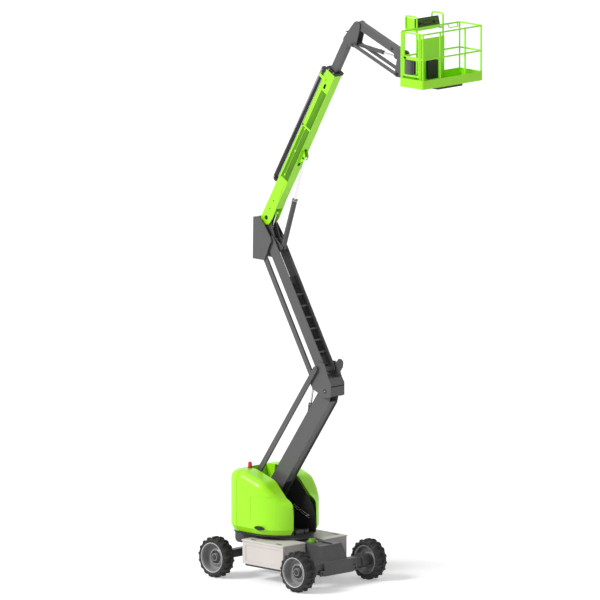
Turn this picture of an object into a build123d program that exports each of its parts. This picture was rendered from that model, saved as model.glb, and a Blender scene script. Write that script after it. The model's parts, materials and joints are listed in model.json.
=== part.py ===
"""Articulating boom lift, electric, about 14 m platform height, arms raised.

Millimetres. Origin on the ground under the slewing axis, halfway between the axles.
+X points to the fixed drive axle and the basket, +Y to the left side, +Z up.
"""
import math
import os
from math import cos, radians, sin

from build123d import *

# ---------------------------------------------------------------- running gear
AXLE_X = 1160.0          # each axle's distance from the slewing axis
WHEEL_Y = 1000.0         # wheel centre plane
TYRE_R = 413.0           # out to the tips of the lugs
TYRE_W = 290.0
LUG_H = 32.0             # height of a tread lug
LUG_W = 50.0
LUG_SLANT = 20.0         # degrees that a lug leans from straight across
LUG_COUNT = 17           # lugs in each of a tyre's two rows
BEAD_R = 300.0           # where the tyre sits on the rim
RIM_WALL = 9.0
HUB_R = 120.0
HUB_FLANGE_R = 150.0
KINGPIN_Y = 790.0
KINGPIN_R = 28.0
FIT = 0.3                # radial clearance of a pin, and the gap of touching pieces
RUN = 6.0                # side gap between moving plates

# ---------------------------------------------------------------- chassis
DECK_Z = 825.0
DECK_HALF_W = 262.0
DECK_NOSE_X = 1080.0
DECK_REAR_X = -1060.0
SPINE_Z = 330.0
NOSE_X = 1310.0
NOSE_TOP_Z = 530.0
NOSE_LOW_Z = 255.0
NOSE_HALF_W = 400.0
TAIL_X = -1230.0
TAIL_Z = (640.0, 880.0)
TAIL_HALF_W = 400.0
TIE_Y = 467.0            # tie-down lugs on the nose
TIE_HOLE_R = 24.0
BOX_X = (-520.0, 630.0)  # battery boxes
BOX_Y = (270.0, 900.0)
BOX_Z = (355.0, 815.0)
LID_LIP = 15.0
LID_H = 30.0
PEDESTAL_R = 250.0       # under the slewing ring, between the battery lids
RING_R = 430.0
RING_Z = (852.0, 890.0)

# ---------------------------------------------------------------- turret
FLOOR_Z = (915.0, 940.0)
COVER_BASE_Z = 945.0
COVER_TOP_Z = 2180.0
COVER_HALF_W = 780.0
COVER_REAR_X = -1150.0
COVER_CORNER_R = 320.0
COVER_EDGE_R = 170.0         # rounding of the covers' top edge
COVER_CHAMFER = (70.0, 120.0)    # depth and height of the chamfer along the covers' foot
COVER_SPLIT_X = -800.0
COVER_WALL = 14.0
NOSE_ARC_X = -350.0      # centre of the round nose, seen from above
NOSE_FOOT_X = 425.0      # the nose leans back from here
RECESS_X = (-430.0, 110.0)   # shallow panel pressed into a side cover
RECESS_Z = (1180.0, 1730.0)
RECESS_DEEP = 8.0
SLOT_Y = 330.0           # half width of the slot that the arms stand in
COVER_HINGE = (346.0, 2100.0)    # Y and Z of the line that a side cover swings up about
HINGE_PIN_R = 9.0
HINGE_BRACKET_X = ((-788, -770), (-600, -582))
HINGE_SLEEVE_X = ((-760, -715), (-655, -610))
CHEEK_Y = (128.0, 150.0)
LINK_PLATE_Y = (252.0, 274.0)

# ---------------------------------------------------------------- riser arms
P1 = (-750.0, 1320.0)            # lower arm's foot pin, X and Z
LOWER_LEN = 3230.0
LOWER_ELEV = 55.0
LOWER_HALF_W = 120.0
LOWER_HALF_D = 180.0
LOWER_RECESS = 38.0
LOWER_OPEN = 870.0               # from the foot pin up to the front plate
UPPER_LEN = 2850.0
UPPER_ELEV = 180.0 - 59.45       # it leans back over the turret
UPPER_HALF_W = 143.0
UPPER_HALF_D = 121.5
UPPER_CHANNEL = 146.0            # depth of the open channel on its front face
FORK_LEN = 810.0                 # open fork at the upper arm's top
ARM_WALL = 12.0
PIN_R = 35.0
HUB_OUT_Y = 170.0                # half length of an arm's hub tube
PLATE_Y = (176.0, 194.0)         # side plates of knuckle and upright
KNUCKLE_P3 = (-150.0, 405.0)     # upper arm's foot pin from the lower arm's top pin
LOWER_LINK_OFF = (-230.0, 430.0)
UPPER_LINK_OFF = (-220.0, -200.0)
LINK_DEPTH = 110.0
LOWER_LINK_Y = (-245.0, -203.0)
UPPER_LINK_Y = (-170.0, -130.0)
LINK_PIN_R = 20.0
RISER_BASE = (1756.0, -89.0)     # cylinder's foot pin, along and across the lower arm
RISER_EYE = (-480.0, 188.0)      # rod eye from the lower arm's top pin
RISER_BORE_LEN = 942.0
TIE_TUBE = (-280.0, 245.0)       # cross tube that holds the rod eye's ears
EAR_Y = (34.0, 54.0)

# ---------------------------------------------------------------- upright and main boom
BOOM_PIVOT_OFF = (-142.0, 446.0)  # from the upper arm's top pin
LIFT_BASE_OFF = (235.0, -130.0)
LEVEL_BASE_OFF = (-187.0, -17.0)
UPRIGHT_EAR_Y = (62.0, 80.0)
BOOM_ELEV = 60.0
BOOM_HALF_W = 102.5
BOOM_HALF_D = 130.0
BOOM_WALL = 8.0
BOOM_LEN = 3640.0
PANEL_X = (1000.0, 2300.0)       # shallow panel with an oil line along the right side
PANEL_HALF_H = 62.0
PANEL_DEEP = 5.0
PIPE_R = 11.0
PIPE_Z = 6.0
LIFT_EYE = (1635.0, -203.0)
LIFT_LUG_Y = (36.0, 54.0)
LIFT_SLOT_X = (1380.0, 1790.0)   # slot in the boom's bottom plate over the rod's eye
LIFT_BORE_LEN = 1074.0
LEVEL_EYE = (190.0, -110.0)
LEVEL_LUG_Y = (20.0, 32.0)
LEVEL_BORE_LEN = 330.0
TRACK_LEN = 2810.0               # cable track on the boom's back
TRACK_DEPTH = 170.0
TRACK_BAND = 46.0
TRACK_HALF_W = 48.0
TRACK_END = 80.0                 # from the boom's mouth back to the track
FLY_HALF_W = 62.5
FLY_HALF_D = 82.5
FLY_WALL = 6.0
FLY_INNER_X = 1100.0
FLY_END_X = 4440.0

# ---------------------------------------------------------------- jib
JIB_PIN_R = 30.0
JIB_PLATE_Y = (68.0, 86.0)
J1_OFF = (320.0, 345.0)          # jib arm's pin from the fly's end pin
J2_OFF = (220.0, -50.0)          # links' pin from the fly's end pin
JIB_LEN = 1300.0
JIB_ELEV = -20.7
JIB_HALF_W = 60.0
JIB_HALF_D = 77.5
JIB_WALL = 8.0
JIB_SOLID = 60.0                 # from an end pin to the inside of the box
JIB_SLEEVE = 18.0                # wall of the sleeve round an end pin
JIB_SLOT_Y = 47.0                # half width of the bottom slot over the barrel
JIB_SLOT_X = (1085.0, 1235.0)    # narrower slot over the rod's eye
JIB_LINK_Y = (92.0, 122.0)
JIB_LINK_DEPTH = 65.0
JIB_EYE = (1159.0, -124.0)
JIB_LUG_Y = (30.0, 44.0)
JIB_BORE_LEN = 765.0
ROTATOR_OFF = 225.0              # rotator's axis in front of the jib's end pin
ROTATOR_R = 120.0
ROTATOR_DROP = (400.0, 80.0)     # its foot and head below the jib's end pin

# ---------------------------------------------------------------- basket
BASKET_GAP = 497.0               # rotator's axis to the basket's back
BASKET_DEPTH = 670.0
BASKET_HALF_Y = 856.0
FLOOR_DROP = 450.0               # floor below the jib's end pin
TOE_H = 180.0
MID_RAIL_H = 595.0
TOP_RAIL_H = 1100.0
HOOP_H = 1330.0
HOOP_REACH = 315.0
GATE_SLEEVE_H = (330.0, 830.0)   # the gate's hinge sleeves above the floor
RAIL_R = 18.0
RAIL_BEND = 60.0
POST_Y = 350.0
PANEL_H = 880.0
GATE_BAND = 67.0                 # height of the gate's flat middle rail
GRAB_Y = (500.0, 760.0)          # hand hold under the back rail
GRAB_DROP = 75.0
CASE_Y = (-130.0, 160.0)         # manual case on the back panel
CASE_Z = (40.0, 410.0)           # above the floor
CASE_DEEP = 48.0


# ---------------------------------------------------------------- small helpers
def block(x, y, z):
    """A box from its low and high corners, given as three pairs."""
    size = [b - a for a, b in (x, y, z)]
    mid = [(a + b) / 2 for a, b in (x, y, z)]
    return Pos(*mid) * Box(*size)


def both_sides(y0, y1):
    """The Y ranges of a pair of plates that mirror each other."""
    return ((y0, y1), (-y1, -y0))


def plate_xz(points, y):
    """A plate whose outline lies in the XZ plane."""
    face = make_face(Polyline(*[(px, 0, pz) for px, pz in points], close=True))
    solid = extrude(face, amount=y[1] - y[0], dir=(0, 1, 0))
    return Pos(0, y[0], 0) * solid


def rod_y(at, r, y):
    """A round bar along Y through the XZ point at."""
    return Pos(at[0], (y[0] + y[1]) / 2, at[1]) * Rot(90, 0, 0) * Cylinder(r, y[1] - y[0])


def rod_z(x, y, r, z):
    return Pos(x, y, (z[0] + z[1]) / 2) * Cylinder(r, z[1] - z[0])


def rod_x(y, z, r, x):
    return Pos((x[0] + x[1]) / 2, y, z) * Rot(0, 90, 0) * Cylinder(r, x[1] - x[0])


def soft_outline(points):
    """Face in the XZ plane with rounded corners, from (x, z, rounding) points."""
    edges, starts, ends = [], [], []
    for i, (x, z, r) in enumerate(points):
        here = Vector(x, 0, z)
        back, ahead = (Vector(points[j][0], 0, points[j][1]) - here for j in (i - 1, (i + 1) % len(points)))
        back, ahead = back.normalized(), ahead.normalized()
        half = math.acos(back.dot(ahead)) / 2
        starts.append(here + back * (r / math.tan(half)))
        ends.append(here + ahead * (r / math.tan(half)))
        if r:
            centre = here + (back + ahead).normalized() * (r / math.sin(half))
            edges.append(ThreePointArc(starts[-1], centre + (here - centre).normalized() * r, ends[-1]))
    edges += [Line(end, starts[(i + 1) % len(points)]) for i, end in enumerate(ends)]
    return make_face(Wire(edges))


def turn(vector, elevation):
    """An XZ vector given along and across an arm, turned to the arm's elevation."""
    c, s = cos(radians(elevation)), sin(radians(elevation))
    return (vector[0] * c - vector[1] * s, vector[0] * s + vector[1] * c)


def plus(a, b):
    return (a[0] + b[0], a[1] + b[1])


def on_arm(part, foot, elevation):
    """Puts a part that was drawn along +X at its foot pin and elevation."""
    return Pos(foot[0], 0, foot[1]) * Rot(0, -elevation, 0) * part


def link_bar(length, depth, y, bore_r):
    """A bar with round ends and a bore at each end, drawn along +X."""
    bar = block((0, length), y, (-depth / 2, depth / 2))
    for x in (0, length):
        bar += rod_y((x, 0), depth / 2, y)
    for x in (0, length):
        bar -= rod_y((x, 0), bore_r, (y[0] - 1, y[1] + 1))
    return bar


def cylinder_pair(base, eye, sizes):
    """A hydraulic cylinder from its foot pin to its rod eye: barrel and rod.

    sizes: barrel radius, rod radius, foot-to-gland length, half width of the foot and of the
    eye, radius of the foot pin and of the eye, and how far the rod can still close. The eye is
    one piece with its pin, whose ends are bosses on the ears beside it.
    """
    barrel_r, rod_r, gland, half_w, eye_w, foot_pin, eye_r, closing = sizes
    dx, dz = eye[0] - base[0], eye[1] - base[1]
    length = (dx * dx + dz * dz) ** 0.5
    lean = Vector(1, 0, 0).get_signed_angle(Vector(dx, 0, dz), Vector(0, -1, 0))
    foot_r = foot_pin + 22
    barrel = rod_y((0, 0), foot_r, (-half_w, half_w))
    barrel += block((0, foot_r + 20), (-half_w, half_w), (-foot_r * 0.8, foot_r * 0.8))
    barrel += rod_x(0, 0, barrel_r, (foot_r - 10, gland - 30))
    barrel += rod_x(0, 0, barrel_r + 4, (gland - 45, gland))
    barrel -= rod_y((0, 0), foot_pin + FIT, (-half_w - 1, half_w + 1))
    barrel -= rod_x(0, 0, rod_r + FIT, (foot_r + 25, gland + 1))
    inside = foot_r + 30 + closing
    rod = rod_x(0, 0, rod_r, (inside, length - eye_r * 0.5))
    rod += rod_y((length, 0), eye_r, (-eye_w, eye_w))
    return on_arm(barrel, base, lean), on_arm(rod, base, lean)


def pin_ends(at, r, y):
    """The heads of a pin, on the outer faces of two ears whose outer faces lie at +-y."""
    return [rod_y(at, r, span) for span in both_sides(y - 2, y + 8)]


def pipe(points, r, bend=0.0):
    """A round tube through the points, with bends of one radius where it is given."""
    path = FilletPolyline(*points, radius=bend) if bend else Polyline(*points)
    start = Vector(*points[0])
    along = Vector(*points[1]) - start
    profile = Plane(origin=start, z_dir=along) * Circle(r)
    return sweep(profile, path=path, transition=Transition.ROUND)


def rail(a, b, r=RAIL_R):
    """A straight round tube between two points, with round ends."""
    start, end = Vector(*a), Vector(*b)
    length = (end - start).length
    bar = Plane(origin=start, z_dir=end - start) * Pos(0, 0, length / 2) * Cylinder(r, length)
    return bar + Pos(*a) * Sphere(r) + Pos(*b) * Sphere(r)


def fuse(parts):
    whole = parts[0]
    for part in parts[1:]:
        whole = whole + part
    return whole


# ---------------------------------------------------------------- wheels
def tread_lug(side):
    """One lug of a tyre that lies flat, pointing along +X; side is the tread half that it is on."""
    half = TYRE_W / 2
    root = TYRE_R - LUG_H - 25
    profile = [(root, 6), (TYRE_R - 1, 6), (TYRE_R - 5, half - 36), (TYRE_R - 62, half),
               (TYRE_R - 92, half), (root, half - 40)]
    face = make_face(Polyline(*[(r, 0, side * z) for r, z in profile], close=True))
    bar = Pos(0, -LUG_W / 2, 0) * extrude(face, amount=LUG_W, dir=(0, 1, 0))
    return Rot(side * LUG_SLANT, 0, 0) * bar


def tyre_band(z0, r0, z1, r1):
    """One band of the carcass, with a flat for each lug."""
    rings = [Pos(0, 0, z) * RegularPolygon(r, 2 * LUG_COUNT) for z, r in ((z0, r0), (z1, r1))]
    return loft([ring.face() for ring in rings], ruled=True)


def tyre():
    """Carcass of flat-sided bands with two staggered rows of lugs, bored for the rim."""
    half = TYRE_W / 2
    crown, shoulder = TYRE_R - LUG_H, TYRE_R - 95
    whole = tyre_band(-half + 42, crown, half - 42, crown)
    whole += tyre_band(half - 42, crown, half, shoulder) + tyre_band(-half, shoulder, -half + 42, crown)
    whole -= Cylinder(BEAD_R + FIT, TYRE_W + 2)
    step = 360 / LUG_COUNT
    for i in range(LUG_COUNT):
        whole += Rot(0, 0, 90 + i * step) * tread_lug(1)
        whole += Rot(0, 0, 90 + (i + 0.5) * step) * tread_lug(-1)
    return Rot(90, 0, 0) * whole


def wheel(at, side):
    """Dished rim with its hub face; side is +1 for the left wheels."""
    half = TYRE_W / 2 - 25
    dish = 20
    outline = Polyline(
        (0, 0, dish), (0, HUB_FLANGE_R, dish), (0, HUB_FLANGE_R + 60, dish - 45),
        (0, BEAD_R - 22, dish - 45), (0, BEAD_R - 22, half - 12), (0, BEAD_R - RIM_WALL, half + 2),
        (0, BEAD_R - RIM_WALL, half + 14), (0, BEAD_R, half + 14), (0, BEAD_R, -half),
        (0, BEAD_R - RIM_WALL, -half), (0, BEAD_R - 22 - RIM_WALL, -half + 12),
        (0, BEAD_R - 22 - RIM_WALL, dish - 45 - RIM_WALL), (0, HUB_FLANGE_R + 55, dish - 45 - RIM_WALL),
        (0, HUB_FLANGE_R, dish - 14), (0, 0, dish - 14), close=True)
    disc = revolve(make_face(outline), axis=Axis.Z)
    disc += Pos(0, 0, dish + 22) * Cylinder(HUB_R * 0.62, 44)
    return Pos(*at) * Rot(-90 * side, 0, 0) * disc


def build_wheels():
    made = {}
    upright_tyre = tyre()
    for end, x in (("drive", AXLE_X), ("steer", -AXLE_X)):
        for name, side in (("left", 1), ("right", -1)):
            at = (x, side * WHEEL_Y, TYRE_R)
            made[f"{end}_tyre_{name}"] = Pos(*at) * upright_tyre
            made[f"{end}_rim_{name}"] = wheel(at, side)
    return made


# Inner end of each wheel: the hub face lies this far inside the wheel's centre plane.
HUB_FACE = 6.0 - FIT
HUB_Y = WHEEL_Y + HUB_FACE


def hub_drum(x, side, inner_y):
    """The dark drum that a wheel's disc is bolted to."""
    face = side * HUB_Y
    inner = side * inner_y
    low, high = min(face, inner), max(face, inner)
    return rod_y((x, TYRE_R), HUB_R, (low, high))


# ---------------------------------------------------------------- chassis
def chassis_frame():
    spine = block((DECK_REAR_X, DECK_NOSE_X), (-DECK_HALF_W, DECK_HALF_W), (SPINE_Z, DECK_Z))
    nose = block((DECK_NOSE_X - 70, NOSE_X), (-NOSE_HALF_W, NOSE_HALF_W), (NOSE_LOW_Z, NOSE_TOP_Z))
    slope = plate_xz([(DECK_NOSE_X - 60, DECK_Z), (DECK_NOSE_X, DECK_Z), (NOSE_X - 60, NOSE_TOP_Z),
                      (DECK_NOSE_X - 60, NOSE_TOP_Z)], (-300, 300))
    tail = block((TAIL_X, DECK_REAR_X), (-TAIL_HALF_W, TAIL_HALF_W), TAIL_Z)
    tail = fillet(tail.edges().filter_by(Axis.Y).group_by(Axis.Z)[0].sort_by(Axis.X)[0], 90)
    shelf = block((DECK_REAR_X - 60, BOX_X[0] - 60), (-TAIL_HALF_W, TAIL_HALF_W), (700, DECK_Z))
    frame = fuse([spine, nose, slope, tail, shelf])
    tray = block((BOX_X[0] + 20, BOX_X[1] - 20), (-BOX_Y[1] + 60, BOX_Y[1] - 60), (SPINE_Z - 25, BOX_Z[0]))
    return frame + tray + rod_z(0, 0, PEDESTAL_R, (DECK_Z - 5, RING_Z[0] - FIT))


def tie_lugs():
    """Square lugs with a lashing hole, one on each side of the nose."""
    lugs = []
    for side in (1, -1):
        y = tuple(sorted((side * (NOSE_HALF_W + FIT), side * (TIE_Y + 52))))
        lug = block((NOSE_X - 30, NOSE_X), y, (265, 375))
        lugs.append(lug - rod_x(side * TIE_Y, 320, TIE_HOLE_R, (NOSE_X - 40, NOSE_X + 10)))
    return Compound(children=lugs)


def drive_axle():
    """Fixed axle under the nose, with a hub motor's housing at each end."""
    beam = block((AXLE_X - 100, AXLE_X + 100), (-700, 700), (TYRE_R - 95, TYRE_R + 95))
    beam -= block((DECK_NOSE_X - 70, NOSE_X), (-NOSE_HALF_W - FIT, NOSE_HALF_W + FIT), (200, 560))
    beam -= block((DECK_REAR_X, DECK_NOSE_X), (-DECK_HALF_W - FIT, DECK_HALF_W + FIT), (200, 560))
    beam -= block((DECK_NOSE_X - 75, DECK_NOSE_X - 65), (-NOSE_HALF_W - FIT, NOSE_HALF_W + FIT), (200, 560))
    ends = [beam]
    for side in (1, -1):
        ends.append(rod_y((AXLE_X, TYRE_R), 150, tuple(sorted((side * 690, side * 850)))))
        ends.append(hub_drum(AXLE_X, side, 845))
    return fuse(ends)


def steer_axle():
    """Dark beam across the tail, forked at each end round a kingpin."""
    z = TYRE_R + 20
    beam = block((-AXLE_X - 70, -AXLE_X + 70), (-KINGPIN_Y + 95, KINGPIN_Y - 95), (z - 80, z + 80))
    post = block((-AXLE_X - 60, -AXLE_X + 60), (-180, 180), (z + 60, TAIL_Z[0]))
    post += block((-AXLE_X + 50, DECK_REAR_X), (-160, 160), (SPINE_Z + 10, TAIL_Z[0]))
    axle = beam + post
    for side in (1, -1):
        span = tuple(sorted((side * (KINGPIN_Y - 110), side * (KINGPIN_Y + 45))))
        for zs in ((z + 75, z + 105), (z - 105, z - 75)):
            axle += block((-AXLE_X - 55, -AXLE_X + 55), span, zs)
        axle += rod_z(-AXLE_X, side * KINGPIN_Y, KINGPIN_R, (z - 105, z + 105))
    return axle


def steer_knuckle(side):
    """Kingpin block and the drum that carries a steered wheel."""
    z = TYRE_R + 20
    body = rod_z(-AXLE_X, side * KINGPIN_Y, 55, (z - 75 + FIT, z + 75 - FIT))
    body += block((-AXLE_X - 55, -AXLE_X + 55), tuple(sorted((side * KINGPIN_Y, side * (KINGPIN_Y + 90)))),
                  (z - 75 + FIT, z + 75 - FIT))
    body += hub_drum(-AXLE_X, side, KINGPIN_Y + 85)
    arm_y = tuple(sorted((side * (KINGPIN_Y - 20), side * (KINGPIN_Y + 20))))
    arm = block((-AXLE_X + 30, -AXLE_X + 190), arm_y,
                (z - 45, z - 15))
    body += arm
    return body - rod_z(-AXLE_X, side * KINGPIN_Y, KINGPIN_R + FIT, (z - 200, z + 200))


def battery_boxes():
    boxes = []
    for y in both_sides(*BOX_Y):
        box = block(BOX_X, y, BOX_Z)
        outer = y[1] if y[1] > 0 else y[0]
        recess = block((BOX_X[0] + 90, BOX_X[1] - 90), tuple(sorted((outer - 12 * (1 if outer > 0 else -1), outer * 1.1))),
                       (BOX_Z[0] + 60, BOX_Z[1] - 70))
        boxes.append(box - recess)
    return Compound(children=boxes)


def battery_lids():
    lids = []
    for y0, y1 in both_sides(*BOX_Y):
        out_y = (y0, y1 + LID_LIP) if y1 > 0 else (y0 - LID_LIP, y1)
        lid = block((BOX_X[0] - LID_LIP, BOX_X[1] + LID_LIP), out_y, (BOX_Z[1], BOX_Z[1] + LID_H))
        lids.append(chamfer(lid.edges().group_by(Axis.Z)[-1], 10))
    return Compound(children=lids)


def slew_ring():
    return rod_z(0, 0, RING_R, RING_Z) - rod_z(0, 0, PEDESTAL_R - 70, (RING_Z[0] - 1, RING_Z[1] + 1))


# ---------------------------------------------------------------- turret
def turret_plan(inset, z=(0, 3000)):
    """The turret's outline seen from above: round rear corners and a half-round nose."""
    w = COVER_HALF_W - inset
    body = block((COVER_REAR_X + inset, NOSE_ARC_X), (-w, w), z)
    body = fillet(body.edges().filter_by(Axis.Z).group_by(Axis.X)[0], COVER_CORNER_R - inset)
    return body + rod_z(NOSE_ARC_X, 0, w, z)


COVER_PROFILE = (  # X, Z and rounding of the covers' top line, from the rear to the nose
    (-700, COVER_TOP_Z, 500), (-160, 2010, 350), (160, 1690, 80), (335, 1600, 0))


def turret_shell(inset):
    """Solid of the turret's skin: the plan cut to the side view, round at the top, chamfered at the foot."""
    fall = 0.6 * inset
    line = [(-3000, 0, 0), (-3000, COVER_TOP_Z - inset, 0)]
    line += [(x - (0 if r else inset), z - (inset if r > 100 else fall), r) for x, z, r in COVER_PROFILE]
    line += [(NOSE_FOOT_X - inset, COVER_BASE_Z, 0), (NOSE_FOOT_X - inset, 0, 0)]
    side_view = Pos(0, 1000, 0) * extrude(soft_outline(line), amount=2000, dir=(0, -1, 0))
    foot = block((-2000, 2000), (-1000, 1000), (COVER_BASE_Z, 3000))
    body = turret_plan(inset) & side_view & foot
    upright_faces = [f for f in body.faces() if abs(f.normal_at(f.center()).Z) < 0.01]
    sloped = [f for f in body.faces() if f.normal_at(f.center()).Z > 0.01]
    rim = [e for f in sloped for e in f.edges() if any(e.is_same(x) for g in upright_faces for x in g.edges())]
    body = fillet(rim, COVER_EDGE_R - inset)
    deep, high = COVER_CHAMFER
    foot_rim = [e for e in body.edges() if e.bounding_box().max.Z < COVER_BASE_Z + 1]
    return chamfer(foot_rim, high - inset, deep - inset)


def turret_frame():
    plan = turret_plan(60) & block((-1080, 400), (-1000, 1000), FLOOR_Z)
    ring = rod_z(0, 0, RING_R - 10, (RING_Z[1] + FIT, FLOOR_Z[0]))
    frame = plan + ring
    cheek = [(-1000, FLOOR_Z[1]), (-840, P1[1]), (-812, P1[1] + 62), (P1[0], P1[1] + 88), (-688, P1[1] + 62),
             (-600, 1250), (-300, 1060), (150, FLOOR_Z[1])]
    for y in both_sides(*CHEEK_Y):
        frame += plate_xz(cheek, y)
    q1 = plus(P1, LOWER_LINK_OFF)
    post = [(-1030, FLOOR_Z[1]), (q1[0] - 48, q1[1]), (q1[0] - 34, q1[1] + 34), (q1[0], q1[1] + 48),
            (q1[0] + 34, q1[1] + 34), (q1[0] + 48, q1[1]), (-780, FLOOR_Z[1])]
    frame += plate_xz(post, (-LINK_PLATE_Y[1], -LINK_PLATE_Y[0]))
    frame += rod_y(P1, PIN_R, (-CHEEK_Y[1] - 10, CHEEK_Y[1] + 10))
    frame += rod_y(q1, LINK_PIN_R, (-LINK_PLATE_Y[1] - 6, LOWER_LINK_Y[1]))
    wall = [(-790, FLOOR_Z[1]), (-790, 2092), (-560, 2060), (-430, 2035), (-150, 1940), (140, 1630), (250, 1500),
            (330, 1250), (340, FLOOR_Z[1])]
    hinge_y, hinge_z = COVER_HINGE
    for side in (1, -1):
        frame += plate_xz(wall, tuple(sorted((side * (SLOT_Y - 20), side * (SLOT_Y - 8)))))
        for x in HINGE_BRACKET_X:
            reach = tuple(sorted((side * (SLOT_Y - 20), side * hinge_y)))
            frame += block(x, reach, (hinge_z - 80, hinge_z - HINGE_PIN_R))
            frame += rod_x(side * hinge_y, hinge_z, HINGE_PIN_R + 4, x)
        frame += rod_x(side * hinge_y, hinge_z, HINGE_PIN_R, (HINGE_BRACKET_X[0][0], HINGE_BRACKET_X[1][1]))
    return frame


def counterweight():
    body = turret_shell(0) & block((-2000, COVER_SPLIT_X - 4), (-1000, 1000), (0, 3000))
    for y in both_sides(SLOT_Y, 600):
        body += block((-1030, COVER_SPLIT_X - 30), y, (FLOOR_Z[1] + FIT, COVER_BASE_Z + 20))
    return body - block((-1045, 0), (-300, 300), (900, 3000))


def side_cover(side):
    """Hollow moulded cover, open below and towards the arms, on two hinge sleeves."""
    span = (SLOT_Y, 1000) if side > 0 else (-1000, -SLOT_Y)
    room = (SLOT_Y - 5, 1000) if side > 0 else (-1000, -SLOT_Y + 5)
    outer = turret_shell(0) & block((COVER_SPLIT_X + 4, 1000), span, (0, 3000))
    inner = turret_shell(COVER_WALL) & block((COVER_SPLIT_X - 50, 1000), room, (0, 3000))
    cover = outer - inner - block((-2000, 2000), (-1000, 1000), (COVER_BASE_Z - 50, COVER_BASE_Z + 1))
    panel = block(RECESS_X, span, RECESS_Z)
    cover -= fillet(panel.edges().filter_by(Axis.Y), 60) - turret_shell(RECESS_DEEP)
    y, z = side * COVER_HINGE[0], COVER_HINGE[1]
    for x in HINGE_SLEEVE_X:
        web = block(x, tuple(sorted((y - side * 8, y + side * 8))), (z, COVER_TOP_Z)) & turret_shell(COVER_WALL / 2)
        cover += web + rod_x(y, z, HINGE_PIN_R + 8, x)
    return cover - rod_x(y, z, HINGE_PIN_R + FIT, (HINGE_BRACKET_X[0][1], HINGE_BRACKET_X[1][0]))


def hydraulic_unit():
    """Oil tank and pump block on the right, controller case on the left, under the covers."""
    tank = block((-700, -250), (-665, -360), (FLOOR_Z[1], 1500))
    tank += rod_z(-475, -530, 60, (1500, 1560))
    case = block((-700, -150), (360, 665), (FLOOR_Z[1], 1420))
    return Compound(children=[fillet(tank.edges().filter_by(Axis.Z).group_by(Axis.X)[0], 30), case])


# ---------------------------------------------------------------- riser
P2 = plus(P1, turn((LOWER_LEN, 0), LOWER_ELEV))
P3 = plus(P2, KNUCKLE_P3)
P4 = plus(P3, turn((UPPER_LEN, 0), UPPER_ELEV))


def lower_arm():
    """Channel of two side plates, with a recessed front plate and a top plate at its foot."""
    parts = []
    side = [(-60, -90), (260, -LOWER_HALF_D), (LOWER_LEN - 190, -LOWER_HALF_D), (LOWER_LEN - 20, -120),
            (LOWER_LEN + 60, -90), (LOWER_LEN + 110, 0), (LOWER_LEN + 60, 90), (LOWER_LEN - 150, LOWER_HALF_D),
            (260, LOWER_HALF_D), (-60, 90), (-95, 0)]
    for y in both_sides(LOWER_HALF_W - ARM_WALL, LOWER_HALF_W):
        parts.append(plate_xz(side, y))
    inner = (-LOWER_HALF_W + ARM_WALL, LOWER_HALF_W - ARM_WALL)
    front = -LOWER_HALF_D + LOWER_RECESS
    parts.append(block((LOWER_OPEN, LOWER_LEN - 170), inner, (front - ARM_WALL, front)))
    parts.append(block((260, 1500), inner, (LOWER_HALF_D - ARM_WALL, LOWER_HALF_D)))
    parts.append(rod_y((0, 0), 70, (-LOWER_HALF_W, LOWER_HALF_W)))
    parts.append(rod_y((LOWER_LEN, 0), 70, (-HUB_OUT_Y, HUB_OUT_Y)))
    parts.append(rod_y(RISER_BASE, 25, (-LOWER_HALF_W, LOWER_HALF_W)))
    arm = fuse(parts)
    for x in (0, LOWER_LEN):
        arm -= rod_y((x, 0), PIN_R + FIT, (-HUB_OUT_Y - 1, HUB_OUT_Y + 1))
    return on_arm(arm, P1, LOWER_ELEV)


def lower_link():
    bar = link_bar(LOWER_LEN, LINK_DEPTH, LOWER_LINK_Y, LINK_PIN_R + FIT)
    return on_arm(bar, plus(P1, LOWER_LINK_OFF), LOWER_ELEV)


def riser_knuckle():
    """Two side plates that stay upright between the arms, tied by a front plate and a tube."""
    outline = [(170, -95), (170, 165), (100, 265), (-10, 535), (-80, 565), (-210, 560), (-310, 440),
               (-425, 270), (-440, 150), (-340, 0), (-200, -52), (-90, -120), (60, -130)]
    side = [plus(P2, p) for p in outline]
    parts = [plate_xz(side, y) for y in both_sides(*PLATE_Y)]
    wide = (-PLATE_Y[1], PLATE_Y[1])
    parts.append(block((P2[0] + 158, P2[0] + 170), wide, (P2[1] - 95, P2[1] + 165)))
    parts.append(plate_xz([plus(P2, p) for p in ((170, 153), (170, 165), (96, 270), (88, 264))], wide))
    parts.append(rod_y(P2, PIN_R, wide))
    parts.append(rod_y(P3, PIN_R, wide))
    parts.append(rod_y(plus(P2, TIE_TUBE), 28, wide))
    eye = plus(P2, RISER_EYE)
    ear = [plus(P2, TIE_TUBE), plus(P2, (TIE_TUBE[0] + 20, TIE_TUBE[1] + 25)), plus(eye, (-10, 42)),
           plus(eye, (-40, 15)), plus(eye, (-40, -20)), plus(eye, (0, -42)), plus(P2, (TIE_TUBE[0] + 20, TIE_TUBE[1] - 28))]
    for y in both_sides(*EAR_Y):
        parts.append(plate_xz(ear[1:], y))
    parts += pin_ends(eye, 22, EAR_Y[1])
    q2 = plus(P2, LOWER_LINK_OFF)
    q3 = plus(P3, UPPER_LINK_OFF)
    parts.append(rod_y(q2, LINK_PIN_R, (LOWER_LINK_Y[0] - 4, -PLATE_Y[0])))
    parts.append(rod_y(q3, LINK_PIN_R, (-PLATE_Y[1] - 4, UPPER_LINK_Y[1])))
    lug = [plus(P2, p) for p in ((-30, 365), (60, 365), (130, 460), (140, 560), (100, 615), (20, 620), (-30, 560))]
    parts.append(plate_xz(lug, PLATE_Y))
    return fuse(parts)


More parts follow.
